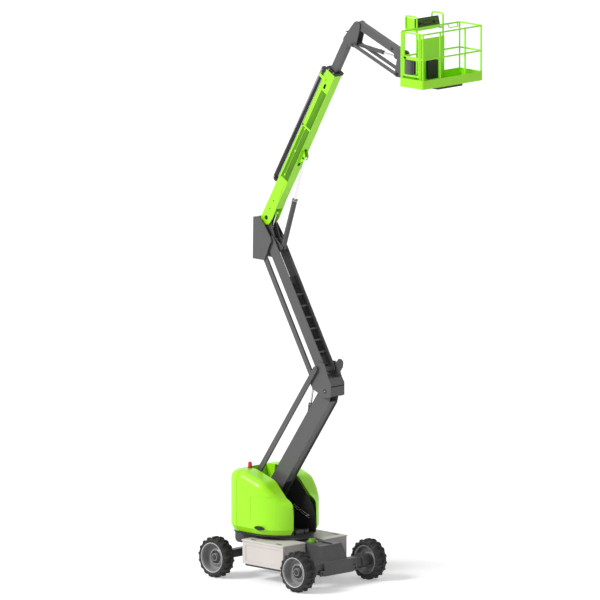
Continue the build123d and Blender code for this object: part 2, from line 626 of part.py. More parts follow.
def upper_arm():
    """Channel open on its front face, forked at the top round the lift cylinder."""
    parts = []
    d = UPPER_HALF_D
    side = [(-60, -95), (60, -d), (UPPER_LEN - 60, -d), (UPPER_LEN + 60, -95), (UPPER_LEN + 105, 0),
            (UPPER_LEN + 60, 95), (UPPER_LEN - 60, d), (60, d), (-60, 95), (-105, 0)]
    for y in both_sides(UPPER_HALF_W - 16, UPPER_HALF_W):
        parts.append(plate_xz(side, y))
    inner = (-UPPER_HALF_W + 16, UPPER_HALF_W - 16)
    floor = -d + UPPER_CHANNEL
    parts.append(block((100, UPPER_LEN - FORK_LEN), inner, (floor, floor + ARM_WALL)))
    parts.append(block((100, UPPER_LEN - FORK_LEN), inner, (d - ARM_WALL, d)))
    parts.append(rod_y((0, 0), 66, (-HUB_OUT_Y, HUB_OUT_Y)))
    for y in both_sides(UPPER_HALF_W - 20, HUB_OUT_Y):
        parts.append(rod_y((UPPER_LEN, 0), 66, y))
    arm = fuse(parts)
    for x in (0, UPPER_LEN):
        arm -= rod_y((x, 0), PIN_R + FIT, (-HUB_OUT_Y - 1, HUB_OUT_Y + 1))
    return on_arm(arm, P3, UPPER_ELEV)


def upper_link():
    bar = link_bar(UPPER_LEN, LINK_DEPTH, UPPER_LINK_Y, LINK_PIN_R + FIT)
    return on_arm(bar, plus(P3, UPPER_LINK_OFF), UPPER_ELEV)


BOOM_PIVOT = plus(P4, BOOM_PIVOT_OFF)


def upright():
    """Level box on top of the riser: it carries the boom's pivot and both cylinders' feet."""
    outline = [(-427, 439), (-265, 457), (-107, 298), (65, 60), (80, 0), (40, -70), (-115, -410), (-440, -410)]
    parts = [plate_xz([plus(P4, p) for p in outline], y) for y in both_sides(*PLATE_Y)]
    wide = (-PLATE_Y[1], PLATE_Y[1])
    parts.append(plate_xz([plus(P4, p) for p in ((-440, -400), (-428, -400), (-415, 439), (-427, 439))], wide))
    parts.append(plate_xz([plus(P4, p) for p in ((-427, 439), (-427, 427), (-322, 439), (-320, 451))], wide))
    ear = [(-430, 300), (-430, 120), (-225, -55), (-160, -60), (0, -75), (215, -178), (275, -160), (285, -105),
           (70, 60), (-70, 420), (-90, 500), (-142, 520), (-195, 500), (-225, 440)]
    for y in both_sides(*UPRIGHT_EAR_Y):
        parts.append(plate_xz([plus(P4, p) for p in ear], y))
    parts.append(rod_y(P4, PIN_R, wide))
    ears_wide = (-UPRIGHT_EAR_Y[1], UPRIGHT_EAR_Y[1])
    parts.append(rod_y(BOOM_PIVOT, PIN_R, (-BOOM_HALF_W - 4, BOOM_HALF_W + 4)))
    parts.append(rod_y(plus(P4, LIFT_BASE_OFF), 28, ears_wide))
    parts.append(rod_y(plus(P4, LEVEL_BASE_OFF), 16, ears_wide))
    parts.append(rod_y(plus(P4, UPPER_LINK_OFF), LINK_PIN_R, (-PLATE_Y[1] - 4, UPPER_LINK_Y[1])))
    return fuse(parts)


# ---------------------------------------------------------------- main boom
def main_boom():
    w, d = BOOM_HALF_W, BOOM_HALF_D
    tube = block((300, BOOM_LEN), (-w, w), (-d, d))
    tube -= block((299, BOOM_LEN + 1), (-w + BOOM_WALL, w - BOOM_WALL), (-d + BOOM_WALL, d - BOOM_WALL))
    cheek = [(-90, 130), (-150, 40), (-150, -30), (-85, -125), (60, -145), (420, -d), (900, -70), (900, 70), (840, d)]
    parts = [tube]
    inner = (-w + BOOM_WALL, w - BOOM_WALL)
    bore = block((330, BOOM_LEN), inner, (-d + BOOM_WALL, d - BOOM_WALL))
    for y in both_sides(UPRIGHT_EAR_Y[1] + RUN, w + 6):
        parts.append(plate_xz(cheek, y) - bore)
    parts.append(block((235, 320), inner, (d - 20, d)))
    parts[0] -= block(LIFT_SLOT_X, (-LIFT_LUG_Y[0], LIFT_LUG_Y[0]), (-d - 1, -d + BOOM_WALL + 1))
    lug = [(1440, -d + 2), (1560, -215), (1600, -240), (1670, -240), (1700, -215), (1800, -d + 2)]
    for y in both_sides(*LIFT_LUG_Y):
        parts.append(plate_xz(lug, y))
    parts += pin_ends(LIFT_EYE, 24, LIFT_LUG_Y[1])
    line_y = -w + PANEL_DEEP - PIPE_R * 0.7
    parts[0] -= block(PANEL_X, (-w - 1, -w + PANEL_DEEP), (-PANEL_HALF_H, PANEL_HALF_H))
    parts.append(rod_x(line_y, PIPE_Z, PIPE_R, (PANEL_X[0] + 60, PANEL_X[1] - 60)))
    for x in (PANEL_X[0] + 60, (PANEL_X[0] + PANEL_X[1]) / 2, PANEL_X[1] - 100):
        parts.append(block((x, x + 40), (line_y - PIPE_R - 3, -w + PANEL_DEEP), (PIPE_Z - 18, PIPE_Z + 18)))
    clamp_x = (BOOM_LEN - 245, BOOM_LEN - 185)
    side_y = (-w - 14, -w)
    parts.append(block(clamp_x, side_y, (d - 90, d + 120)))
    parts.append(block(clamp_x, (side_y[0], -TRACK_HALF_W - FIT), (d + 90, d + 120)))
    hole = block((BOOM_LEN - 408, BOOM_LEN - 292), (-w - 1, -w + BOOM_WALL + 1), (-28, 28))
    parts[0] -= fillet(hole.edges().filter_by(Axis.Y), 27)
    level = [(120, -60), (150, -135), (190, -150), (225, -130), (260, -60)]
    for y in both_sides(*LEVEL_LUG_Y):
        parts.append(plate_xz(level, y))
    parts.append(block((120, 320), (-32, 32), (-62, -50)))
    parts.append(block((280, 320), inner, (-62, -50)))
    parts += pin_ends(LEVEL_EYE, 12, LEVEL_LUG_Y[1])
    boom = fuse(parts)
    boom -= rod_y((0, 0), PIN_R + FIT, (-w - 20, w + 20))
    return on_arm(boom, BOOM_PIVOT, BOOM_ELEV)


def boom_head():
    """Black wear-pad collar on the boom's mouth."""
    wide, deep = BOOM_HALF_W + 12, BOOM_HALF_D + 12
    head = block((BOOM_LEN + FIT, BOOM_LEN + 60), (-wide, wide), (-deep, deep))
    wide, deep = FLY_HALF_W + FIT, FLY_HALF_D + FIT
    head -= block((BOOM_LEN, BOOM_LEN + 61), (-wide, wide), (-deep, deep))
    return on_arm(head, BOOM_PIVOT, BOOM_ELEV)


def cable_track():
    """Chain track on the boom's back: two runs joined by a round loop, and its tray."""
    low, high = BOOM_HALF_D + 6, BOOM_HALF_D + 6 + TRACK_DEPTH
    x0, x1 = BOOM_LEN - TRACK_END - TRACK_LEN, BOOM_LEN - TRACK_END
    mid, r = (low + high) / 2, TRACK_DEPTH / 2
    y = (-TRACK_HALF_W, TRACK_HALF_W)
    outer = block((x0 + r, x1), y, (low, high)) + rod_y((x0 + r, mid), r, y)
    r_in = r - TRACK_BAND
    room = (-TRACK_HALF_W - 1, TRACK_HALF_W + 1)
    track = outer - block((x0 + r, x1 + 1), room, (mid - r_in, mid + r_in)) - rod_y((x0 + r, mid), r_in, room)
    track += block((x1 - 60, x1), y, (low, high))
    tray = block((x0 + 260, x1), (-TRACK_HALF_W - 14, TRACK_HALF_W + 14), (BOOM_HALF_D + FIT, low + 2))
    return on_arm(track + tray, BOOM_PIVOT, BOOM_ELEV)


def fly_boom():
    w, d = FLY_HALF_W, FLY_HALF_D
    tube = block((FLY_INNER_X, FLY_END_X - 150), (-w, w), (-d, d))
    tube -= block((FLY_INNER_X - 1, FLY_END_X - 149), (-w + FLY_WALL, w - FLY_WALL), (-d + FLY_WALL, d - FLY_WALL))
    head = block((FLY_END_X - 170, FLY_END_X), (-w, w), (-d + FLY_WALL, d - FLY_WALL)) + rod_y((FLY_END_X, 0), 74, (-w, w))
    pads = block((FLY_INNER_X, FLY_INNER_X + 80), (-BOOM_HALF_W + BOOM_WALL + FIT, BOOM_HALF_W - BOOM_WALL - FIT),
                 (-BOOM_HALF_D + BOOM_WALL + FIT, BOOM_HALF_D - BOOM_WALL - FIT))
    pads -= block((FLY_INNER_X - 1, FLY_INNER_X + 81), (-w, w), (-d, d))
    fly = tube + head + pads - rod_y((FLY_END_X, 0), JIB_PIN_R + FIT, (-w - 1, w + 1))
    return on_arm(fly, BOOM_PIVOT, BOOM_ELEV)


# ---------------------------------------------------------------- jib
J0 = plus(BOOM_PIVOT, turn((FLY_END_X, 0), BOOM_ELEV))
J1 = plus(J0, J1_OFF)
J2 = plus(J0, J2_OFF)
LINK_DROP = (J2[0] - J1[0], J2[1] - J1[1])
J3 = plus(J1, turn((JIB_LEN, 0), JIB_ELEV))
J4 = plus(J3, LINK_DROP)


def jib_bracket():
    outline = [(-70, -30), (-75, 20), (-50, 70), (240, 400), (300, 425), (360, 415), (398, 365), (395, 320),
               (285, -60), (262, -105), (215, -118), (170, -105), (20, -75), (-40, -65)]
    parts = [plate_xz([plus(J0, p) for p in outline], y) for y in both_sides(*JIB_PLATE_Y)]
    wide = (-JIB_PLATE_Y[1], JIB_PLATE_Y[1])
    parts.append(rod_y(J0, JIB_PIN_R, wide))
    parts.append(rod_y(J1, JIB_PIN_R, wide))
    parts.append(rod_y(J2, 22, (-JIB_LINK_Y[1] - 4, JIB_LINK_Y[1] + 4)))
    parts.append(rod_y(plus(J0, (180, 160)), 25, wide))
    return fuse(parts)


def jib_arm():
    """Box arm whose bottom plate is slotted where the cylinder comes close to it."""
    w, d = JIB_HALF_W, JIB_HALF_D
    inner = (-w + JIB_WALL, w - JIB_WALL)
    arm = block((0, JIB_LEN), (-w, w), (-d, d)) - block((JIB_SOLID, JIB_LEN - JIB_SOLID), inner, (-d + JIB_WALL, d - JIB_WALL))
    arm -= block((-d - 1, JIB_SOLID + 1), inner, (-d - 1, d - JIB_WALL))
    for x in (0, JIB_LEN):
        arm += rod_y((x, 0), d, (-w, inner[0])) + rod_y((x, 0), d, (inner[1], w))
        arm += rod_y((x, 0), JIB_PIN_R + JIB_SLEEVE, inner)
    arm -= block((JIB_SOLID, JIB_SLOT_X[0]), (-JIB_SLOT_Y, JIB_SLOT_Y), (-d - 1, -d + JIB_WALL + 1))
    arm -= block(JIB_SLOT_X, (-JIB_LUG_Y[0], JIB_LUG_Y[0]), (-d - 1, -d + JIB_WALL + 1))
    eye_x, eye_z = JIB_EYE
    lug = [(eye_x - 69, -d + 1), (eye_x - 44, eye_z - 24), (eye_x, eye_z - 41), (eye_x + 44, eye_z - 24),
           (eye_x + 81, -d + 1)]
    for y in both_sides(*JIB_LUG_Y):
        arm += plate_xz(lug, y)
    arm = fuse([arm] + pin_ends(JIB_EYE, 18, JIB_LUG_Y[1]))
    for x in (0, JIB_LEN):
        arm -= rod_y((x, 0), JIB_PIN_R + FIT, (-w - 1, w + 1))
    return on_arm(arm, J1, JIB_ELEV)


def jib_links():
    bars = [on_arm(link_bar(JIB_LEN, JIB_LINK_DEPTH, y, 22 + FIT), J2, JIB_ELEV) for y in both_sides(*JIB_LINK_Y)]
    return Compound(children=bars)


def platform_bracket():
    """Level plates at the jib's end, and the housing that the basket turns on."""
    foot, head = -ROTATOR_DROP[0], -ROTATOR_DROP[1]
    outline = [(-80, 20), (-60, 70), (0, 84), (70, 60), (95, 0), (110, head), (ROTATOR_OFF, head),
               (ROTATOR_OFF, foot), (90, foot), (40, -455), (-130, -455), (-165, -400)]
    parts = [plate_xz([plus(J3, p) for p in outline], y) for y in both_sides(*JIB_PLATE_Y)]
    wide = (-JIB_PLATE_Y[1], JIB_PLATE_Y[1])
    parts.append(rod_y(J3, JIB_PIN_R, wide))
    parts.append(rod_y(J4, 22, (-JIB_LINK_Y[1] - 4, JIB_LINK_Y[1] + 4)))
    parts.append(rod_z(ROTATOR_X, 0, ROTATOR_R, ROTATOR_Z))
    parts.append(rod_z(ROTATOR_X, 0, 45, (ROTATOR_Z[0] - 40, ROTATOR_Z[1] + 40)))
    return fuse(parts)


# ---------------------------------------------------------------- basket
ROTATOR_X = J3[0] + ROTATOR_OFF
ROTATOR_Z = (J3[1] - ROTATOR_DROP[0], J3[1] - ROTATOR_DROP[1])
BASKET_X = (ROTATOR_X + BASKET_GAP, ROTATOR_X + BASKET_GAP + BASKET_DEPTH)
FLOOR_TOP = J3[1] - FLOOR_DROP
TOE_Z = FLOOR_TOP + TOE_H
RAIL_X = (BASKET_X[0] + RAIL_R, BASKET_X[1] - RAIL_R)
RAIL_Y = BASKET_HALF_Y - RAIL_R
GATE_INSET = RAIL_BEND + 2 * RAIL_R + RUN + 8
GATE_X = (RAIL_X[0] + GATE_INSET, RAIL_X[1] - GATE_INSET)


def basket_mount():
    """Yoke round the rotator, with a plate on the back of the basket."""
    parts = []
    for z in ((ROTATOR_Z[0] - 22, ROTATOR_Z[0] - FIT), (ROTATOR_Z[1] + FIT, ROTATOR_Z[1] + 22)):
        parts.append(block((ROTATOR_X, BASKET_X[0] - 10), (-95, 95), z) + rod_z(ROTATOR_X, 0, 95, z))
    high = (ROTATOR_Z[0] - 22, ROTATOR_Z[1] + 22)
    web = ROTATOR_X + ROTATOR_R + 20
    parts.append(block((web, web + 14), (-95, 95), high))
    parts.append(block((web, BASKET_X[0] - 10), (-12, 12), high))
    parts.append(block((BASKET_X[0] - 14, BASKET_X[0]), (-150, 150), (FLOOR_TOP + 20, ROTATOR_Z[1] + 45)))
    return fuse(parts) - rod_z(ROTATOR_X, 0, 45 + FIT, (ROTATOR_Z[0] - 60, ROTATOR_Z[1] + 60))


def basket_floor():
    """Floor tray with its toe boards, and the skid under it."""
    x, y = BASKET_X, (-BASKET_HALF_Y, BASKET_HALF_Y)
    tray = block(x, y, (FLOOR_TOP, TOE_Z))
    tray = fillet(tray.edges().filter_by(Axis.Z), RAIL_BEND)
    hollow = block((x[0] + 5, x[1] - 5), (y[0] + 5, y[1] - 5), (FLOOR_TOP + 12, TOE_Z + 1))
    tray -= fillet(hollow.edges().filter_by(Axis.Z), RAIL_BEND - 5)
    return tray + block((x[0] + 413, x[0] + 613), (-370, 320), (FLOOR_TOP - 55, FLOOR_TOP))


def post(x, y, z):
    return rod_z(x, y, RAIL_R, (TOE_H, z))


def basket_rails():
    """Round-tube guard rail: top and mid rails, posts and the two hoops over the console."""
    # laid out from the back rail's centre line and the floor, then set in place
    depth = RAIL_X[1] - RAIL_X[0]
    gate = (GATE_INSET, depth - GATE_INSET)
    beside = (gate[0] - 2 * RAIL_R - RUN, gate[1] + 2 * RAIL_R + RUN)
    parts = []
    for z in (TOP_RAIL_H, MID_RAIL_H):
        parts.append(pipe([(beside[0], -RAIL_Y, z), (0, -RAIL_Y, z), (0, RAIL_Y, z), (depth, RAIL_Y, z),
                           (depth, -RAIL_Y, z), (beside[1], -RAIL_Y, z)], RAIL_R, RAIL_BEND))
    back_y = POST_Y + 20
    for y in (-1, 1):
        parts.append(post(0, y * back_y, TOP_RAIL_H))
        parts.append(post(depth, y * POST_Y, TOP_RAIL_H))
    corner = RAIL_BEND * (1 - 0.7071)
    for x in (corner, depth - corner):
        for y in (-1, 1):
            parts.append(post(x, y * (RAIL_Y - corner), TOP_RAIL_H))
    for x in beside:
        parts.append(post(x, -RAIL_Y, TOP_RAIL_H))
    for height in GATE_SLEEVE_H:
        z = (height, height + 36)
        parts.append(block((gate[1], beside[1]), (-RAIL_Y - 10, -RAIL_Y + 10), z))
        parts.append(rod_z(gate[1], -RAIL_Y, RAIL_R + 9, z))
    foot = TOP_RAIL_H - RAIL_BEND
    for y in (-back_y, back_y):
        parts.append(pipe([(0, y, TOP_RAIL_H), (0, y, HOOP_H), (-HOOP_REACH, y, HOOP_H), (-HOOP_REACH, y, foot),
                           (0, y, foot)], RAIL_R, RAIL_BEND))
    y0, y1 = GRAB_Y
    hold_z = TOP_RAIL_H - GRAB_DROP
    parts.append(pipe([(0, y0, TOP_RAIL_H), (40, y0, hold_z), (40, y1, hold_z), (0, y1, TOP_RAIL_H)], 11, 25))
    pivot = rod_z(gate[1], -RAIL_Y, RAIL_R + FIT, (0, TOP_RAIL_H + 50))
    return Pos(RAIL_X[0], 0, FLOOR_TOP) * (fuse(parts) - pivot)


def basket_panel():
    """Sheet that closes the basket's back between the two posts."""
    x = RAIL_X[0] + RAIL_R + FIT
    return block((x, x + 4), (-POST_Y - 38, POST_Y + 38), (FLOOR_TOP + 40, FLOOR_TOP + PANEL_H))


def manual_case():
    """Case for the manuals, hung on the back panel inside the basket."""
    x = RAIL_X[0] + RAIL_R + FIT + 4 + FIT
    case = block((x, x + CASE_DEEP), CASE_Y, tuple(FLOOR_TOP + 20 + z for z in CASE_Z))
    case = fillet(case.edges().filter_by(Axis.X), 14)
    room_z = (FLOOR_TOP + 30 + CASE_Z[0], FLOOR_TOP + CASE_Z[1] + 30)
    room = block((x + 4, x + CASE_DEEP - 4), (CASE_Y[0] + 4, CASE_Y[1] - 4), room_z)
    return case - room


def console():
    """Platform control box, held between the hoops."""
    x, z = RAIL_X[0] - 105, FLOOR_TOP + TOP_RAIL_H
    outline = [(-150, -75), (0, -75), (40, -10), (-10, 180), (-140, 150)]
    box = plate_xz([(x + px, z + pz) for px, pz in outline], (-POST_Y + 50, POST_Y - 60))
    inside = POST_Y + 20 - RAIL_R - FIT
    return box + rod_y((x - 70, z - 60), 14, (-inside, inside))


def basket_gate():
    """Swinging gate in the right end of the rail."""
    x0, x1 = GATE_X
    y = -RAIL_Y
    low, mid, top = (FLOOR_TOP + h for h in (TOE_H + 60, MID_RAIL_H, TOP_RAIL_H))
    parts = [rail((x0, y, z), (x1, y, z)) for z in (low, mid, top)]
    parts += [rail((x, y, low), (x, y, top)) for x in (x0, x1)]
    parts.append(block(GATE_X, (y - 12, y + 12), (mid - GATE_BAND / 2, mid + GATE_BAND / 2)))
    return fuse(parts)


def build():
    made = {
        "chassis_frame": chassis_frame(),
        "tie_lugs": tie_lugs(),
        "drive_axle": drive_axle(),
        "steer_axle": steer_axle(),
        "steer_knuckle_left": steer_knuckle(1),
        "steer_knuckle_right": steer_knuckle(-1),
        "battery_boxes": battery_boxes(),
        "battery_lids": battery_lids(),
        "slew_ring": slew_ring(),
        "turret_frame": turret_frame(),
        "counterweight": counterweight(),
        "side_cover_left": side_cover(1),
        "side_cover_right": side_cover(-1),
        "hydraulic_unit": hydraulic_unit(),
        "lower_arm": lower_arm(),
        "lower_link": lower_link(),
        "riser_knuckle": riser_knuckle(),
        "upper_arm": upper_arm(),
        "upper_link": upper_link(),
        "upright": upright(),
        "main_boom": main_boom(),
        "boom_head": boom_head(),
        "cable_track": cable_track(),
        "fly_boom": fly_boom(),
        "jib_bracket": jib_bracket(),
        "jib_arm": jib_arm(),
        "jib_links": jib_links(),
        "platform_bracket": platform_bracket(),
        "basket_mount": basket_mount(),
        "basket_floor": basket_floor(),
        "basket_rails": basket_rails(),
        "basket_panel": basket_panel(),
        "manual_case": manual_case(),
        "console": console(),
        "basket_gate": basket_gate(),
    }
    made.update(build_wheels())
    riser_eye = plus(P2, RISER_EYE)
    riser_foot = plus(P1, turn(RISER_BASE, LOWER_ELEV))
    lift_eye = plus(BOOM_PIVOT, turn(LIFT_EYE, BOOM_ELEV))
    level_eye = plus(BOOM_PIVOT, turn(LEVEL_EYE, BOOM_ELEV))
    jib_eye = plus(J1, turn(JIB_EYE, JIB_ELEV))
    # name: foot, eye, (barrel radius, rod radius, foot-to-gland, half width of foot, of eye,
    #                   foot pin radius, eye radius, closing)
    cylinders = {
        "riser_cylinder": (riser_foot, riser_eye, (42, 25, RISER_BORE_LEN, 28, EAR_Y[0] - FIT, 25, 36, 500)),
        "lift_cylinder": (plus(P4, LIFT_BASE_OFF), lift_eye, (54, 30, LIFT_BORE_LEN, 30, LIFT_LUG_Y[0] - FIT, 28, 31, 710)),
        "level_cylinder": (plus(P4, LEVEL_BASE_OFF), level_eye, (28, 13, LEVEL_BORE_LEN, 14, LEVEL_LUG_Y[0] - FIT, 16, 24, 205)),
        "jib_cylinder": (J2, jib_eye, (38, 20, JIB_BORE_LEN, 24, JIB_LUG_Y[0] - FIT, 22, 30, 260)),
    }
    for name, (base, eye, sizes) in cylinders.items():
        barrel, rod = cylinder_pair(base, eye, sizes)
        made[f"{name}_barrel"] = barrel
        made[f"{name}_rod"] = rod
    return made


os.makedirs("parts", exist_ok=True)
for node, solid in build().items():
    export_step(solid, f"parts/{node}.step")
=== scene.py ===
"""Looks of the articulating boom lift: paint, rubber, hoses, fasteners and trim. Metres, +Z up."""
import json
import math

import bmesh
import bpy
from mathutils import Matrix, Vector


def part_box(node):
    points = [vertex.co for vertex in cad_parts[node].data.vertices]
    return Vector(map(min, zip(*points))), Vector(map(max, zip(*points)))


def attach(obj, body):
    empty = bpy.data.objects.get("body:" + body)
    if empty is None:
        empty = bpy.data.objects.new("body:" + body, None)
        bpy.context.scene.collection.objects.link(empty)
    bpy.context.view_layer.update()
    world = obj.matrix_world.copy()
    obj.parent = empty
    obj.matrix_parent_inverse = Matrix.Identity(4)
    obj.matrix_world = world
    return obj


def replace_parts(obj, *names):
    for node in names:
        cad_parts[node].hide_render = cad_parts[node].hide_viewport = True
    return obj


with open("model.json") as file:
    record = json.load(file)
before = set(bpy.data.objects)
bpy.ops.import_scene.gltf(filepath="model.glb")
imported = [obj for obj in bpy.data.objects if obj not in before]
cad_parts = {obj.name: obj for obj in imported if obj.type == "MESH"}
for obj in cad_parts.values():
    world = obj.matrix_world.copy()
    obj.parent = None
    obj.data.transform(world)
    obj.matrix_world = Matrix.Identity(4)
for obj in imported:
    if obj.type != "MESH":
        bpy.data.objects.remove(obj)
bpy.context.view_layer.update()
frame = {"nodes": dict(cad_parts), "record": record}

# Chassis: a welded box with a sloped nose, two axles, and the slewing ring on its pedestal under plated
# screws. It is steel plate in dark satin grey, worn brighter along its edges and dusty near the ground.
node = frame["nodes"]
DUST = (0.30, 0.28, 0.25)
DUST_TOP_Z, DUST_FULL_Z = 0.9, 0.1
RING_SCREWS, RING_SCREW_INSET = 24, 0.02


def mapped(tree, value, low, high, start, end):
    """Takes a value from the range low to high on to the range start to end, clamped."""
    step = tree.nodes.new("ShaderNodeMapRange")
    for name, number in (("From Min", low), ("From Max", high), ("To Min", start), ("To Max", end)):
        step.inputs[name].default_value = number
    tree.links.new(value, step.inputs["Value"])
    return step.outputs["Result"]


def cloud(tree, scale, detail=3.0):
    """Noise that sits still on the piece, as grime, spray and grain do."""
    place = tree.nodes.new("ShaderNodeTexCoord")
    fog = tree.nodes.new("ShaderNodeTexNoise")
    fog.inputs["Scale"].default_value = scale
    fog.inputs["Detail"].default_value = detail
    tree.links.new(place.outputs["Object"], fog.inputs["Vector"])
    return fog.outputs["Fac"]


def combined(tree, how, one, other):
    """Two values brought to one, by MULTIPLY or MAXIMUM."""
    step = tree.nodes.new("ShaderNodeMath")
    step.operation = how
    tree.links.new(one, step.inputs[0])
    tree.links.new(other, step.inputs[1])
    return step.outputs[0]


def blend_colour(tree, amount, under, over):
    """Lays one colour over another by an amount that varies over the surface."""
    mix = tree.nodes.new("ShaderNodeMix")
    mix.data_type = "RGBA"
    tree.links.new(amount, mix.inputs["Factor"])
    for socket, colour in ((mix.inputs[6], under), (mix.inputs[7], over)):
        if isinstance(colour, tuple):
            socket.default_value = (*colour, 1)
        else:
            tree.links.new(colour, socket)
    return mix.outputs[2]


def finish(name, colour, rough, vary=0.08, grain=(220, 0.02), edge=0.004, worn=None, coat=0.0,
           metal=0.0, dust=0.0):
    """One surface: mottled colour, soft edges that wear to a lighter tone, fine grain and dust low down."""
    made = bpy.data.materials.new(name)
    made.use_nodes = True
    tree = made.node_tree
    shader = tree.nodes["Principled BSDF"]
    for socket, value in (("Metallic", metal), ("Coat Weight", coat), ("Coat Roughness", 0.12),
                          ("Specular IOR Level", 0.35)):
        shader.inputs[socket].default_value = value
    patches = mapped(tree, cloud(tree, 1.7, 4.0), 0.3, 0.7, 0.0, 1.0)
    tone = blend_colour(tree, patches, tuple(c * (1 - vary) for c in colour),
                        tuple(c * (1 + vary * 0.5) for c in colour))
    soft = tree.nodes.new("ShaderNodeBevel")
    soft.samples = 4
    soft.inputs["Radius"].default_value = edge
    if worn:
        flat = tree.nodes.new("ShaderNodeNewGeometry")
        agree = tree.nodes.new("ShaderNodeVectorMath")
        agree.operation = "DOT_PRODUCT"
        tree.links.new(soft.outputs["Normal"], agree.inputs[0])
        tree.links.new(flat.outputs["Normal"], agree.inputs[1])
        at_edges = mapped(tree, agree.outputs["Value"], 0.97, 0.78, 0.0, 0.8)
        in_spots = mapped(tree, cloud(tree, 9.0, 5.0), 0.4, 0.65, 0.0, 1.0)
        tone = blend_colour(tree, combined(tree, "MULTIPLY", at_edges, in_spots), tone, worn)
    if dust:
        place = tree.nodes.new("ShaderNodeTexCoord")
        split = tree.nodes.new("ShaderNodeSeparateXYZ")
        tree.links.new(place.outputs["Object"], split.inputs[0])
        low_down = mapped(tree, split.outputs["Z"], DUST_TOP_Z, DUST_FULL_Z, 0.0, dust)
        in_drifts = mapped(tree, cloud(tree, 14.0, 6.0), 0.35, 0.7, 0.2, 1.0)
        tone = blend_colour(tree, combined(tree, "MULTIPLY", low_down, in_drifts), tone, DUST)
    tree.links.new(tone, shader.inputs["Base Color"])
    sheen = mapped(tree, cloud(tree, 6.0), 0.3, 0.7, rough * 0.85, rough * 1.15)
    tree.links.new(sheen, shader.inputs["Roughness"])
    bump = tree.nodes.new("ShaderNodeBump")
    grain_scale, grain_strength = grain
    bump.inputs["Strength"].default_value = grain_strength
    bump.inputs["Distance"].default_value = 0.002
    tree.links.new(cloud(tree, grain_scale), bump.inputs["Height"])
    tree.links.new(soft.outputs["Normal"], bump.inputs["Normal"])
    tree.links.new(bump.outputs["Normal"], shader.inputs["Normal"])
    return made


def coat_nodes(material, *names):
    """Gives CAD solids their finish."""
    for name in names:
        node[name].data.materials.clear()
        node[name].data.materials.append(material)


def seat(at, along, side=(0, 1, 0), place=Matrix.Identity(4)):
    """A frame at a point whose Z looks along a direction, both given in the frame of a place."""
    z = (place.to_3x3() @ Vector(along)).normalized()
    x = Vector(side).cross(z)
    if x.length < 1e-6:
        x = Vector((1, 0, 0))
    x.normalize()
    return Matrix.Translation(place @ Vector(at)) @ Matrix((x, z.cross(x), z)).transposed().to_4x4()


def on_circle(radius, degrees):
    """A point on a circle round the origin."""
    turn = math.radians(degrees)
    return radius * math.cos(turn), radius * math.sin(turn)


def fit_piece(name, mesh, material, body, crease=35):
    """Closes a bmesh into a named piece that rides on a body."""
    bmesh.ops.remove_doubles(mesh, verts=mesh.verts, dist=1e-5)
    bmesh.ops.recalc_face_normals(mesh, faces=mesh.faces)
    data = bpy.data.meshes.new(name)
    mesh.to_mesh(data)
    mesh.free()
    data.shade_smooth()
    data.set_sharp_from_angle(angle=math.radians(crease))
    data.materials.append(material)
    piece = bpy.data.objects.new(name, data)
    bpy.context.scene.collection.objects.link(piece)
    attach(piece, body)
    return piece


def soften(mesh, edges, width, segments=2):
    """Rounds edges off."""
    bmesh.ops.bevel(mesh, geom=list(edges), offset=width, offset_type="OFFSET", segments=segments,
                    profile=0.5, affect="EDGES", material=-1)


def turn_profile(mesh, profile, at, steps=32):
    """Spins an outline of (radius, height) points about a frame's Z."""
    points = [mesh.verts.new(at @ Vector((r, 0, h))) for r, h in profile]
    line = [mesh.edges.new(pair) for pair in zip(points, points[1:])]
    bmesh.ops.spin(mesh, geom=points + line, cent=at.translation, axis=at.to_3x3() @ Vector((0, 0, 1)),
                   dvec=(0, 0, 0), angle=2 * math.pi, steps=steps, use_merge=True)


def add_bolt(mesh, at, along, width, height, place=Matrix.Identity(4)):
    """A hexagon head on its washer."""
    put = seat(at, along, place=place)
    back = put.inverted()
    washer_r, washer_h, head_h = width * 1.45, height * 0.2, height * 0.8
    turn_profile(mesh, [(0, 0), (washer_r, 0), (washer_r, washer_h), (0, washer_h)], put, 16)
    head = bmesh.ops.create_cone(mesh, cap_ends=True, segments=6, radius1=width, radius2=width * 0.96,
                                 depth=head_h, matrix=put @ Matrix.Translation((0, 0, height * 0.6)))
    around = {e for v in head["verts"] for e in v.link_edges}
    rim = [e for e in around if all((back @ v.co).z > height * 0.9 for v in e.verts)]
    soften(mesh, rim, width * 0.12, 1)


CHASSIS_GREY = finish("chassis_grey_paint", (0.078, 0.078, 0.080), 0.42,
                      worn=(0.2, 0.2, 0.2), dust=0.08)
PIN_STEEL = finish("plated_pin_steel", (0.5, 0.5, 0.48), 0.35, metal=1.0,
                   grain=(400, 0.03), edge=0.0015)
coat_nodes(CHASSIS_GREY, "chassis_frame", "tie_lugs", "drive_axle", "steer_axle", "steer_knuckle_left",
           "steer_knuckle_right", "slew_ring")
ring_low, ring_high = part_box("slew_ring")
screw_circle_r = (ring_high.x - ring_low.x) / 2 - RING_SCREW_INSET
bolts = bmesh.new()
for i in range(RING_SCREWS):
    add_bolt(bolts, (*on_circle(screw_circle_r, 360 * i / RING_SCREWS), ring_high.z - 0.0005), (0, 0, 1),
             0.010, 0.010)
fit_piece("slew_ring_bolts", bolts, PIN_STEEL, "chassis")

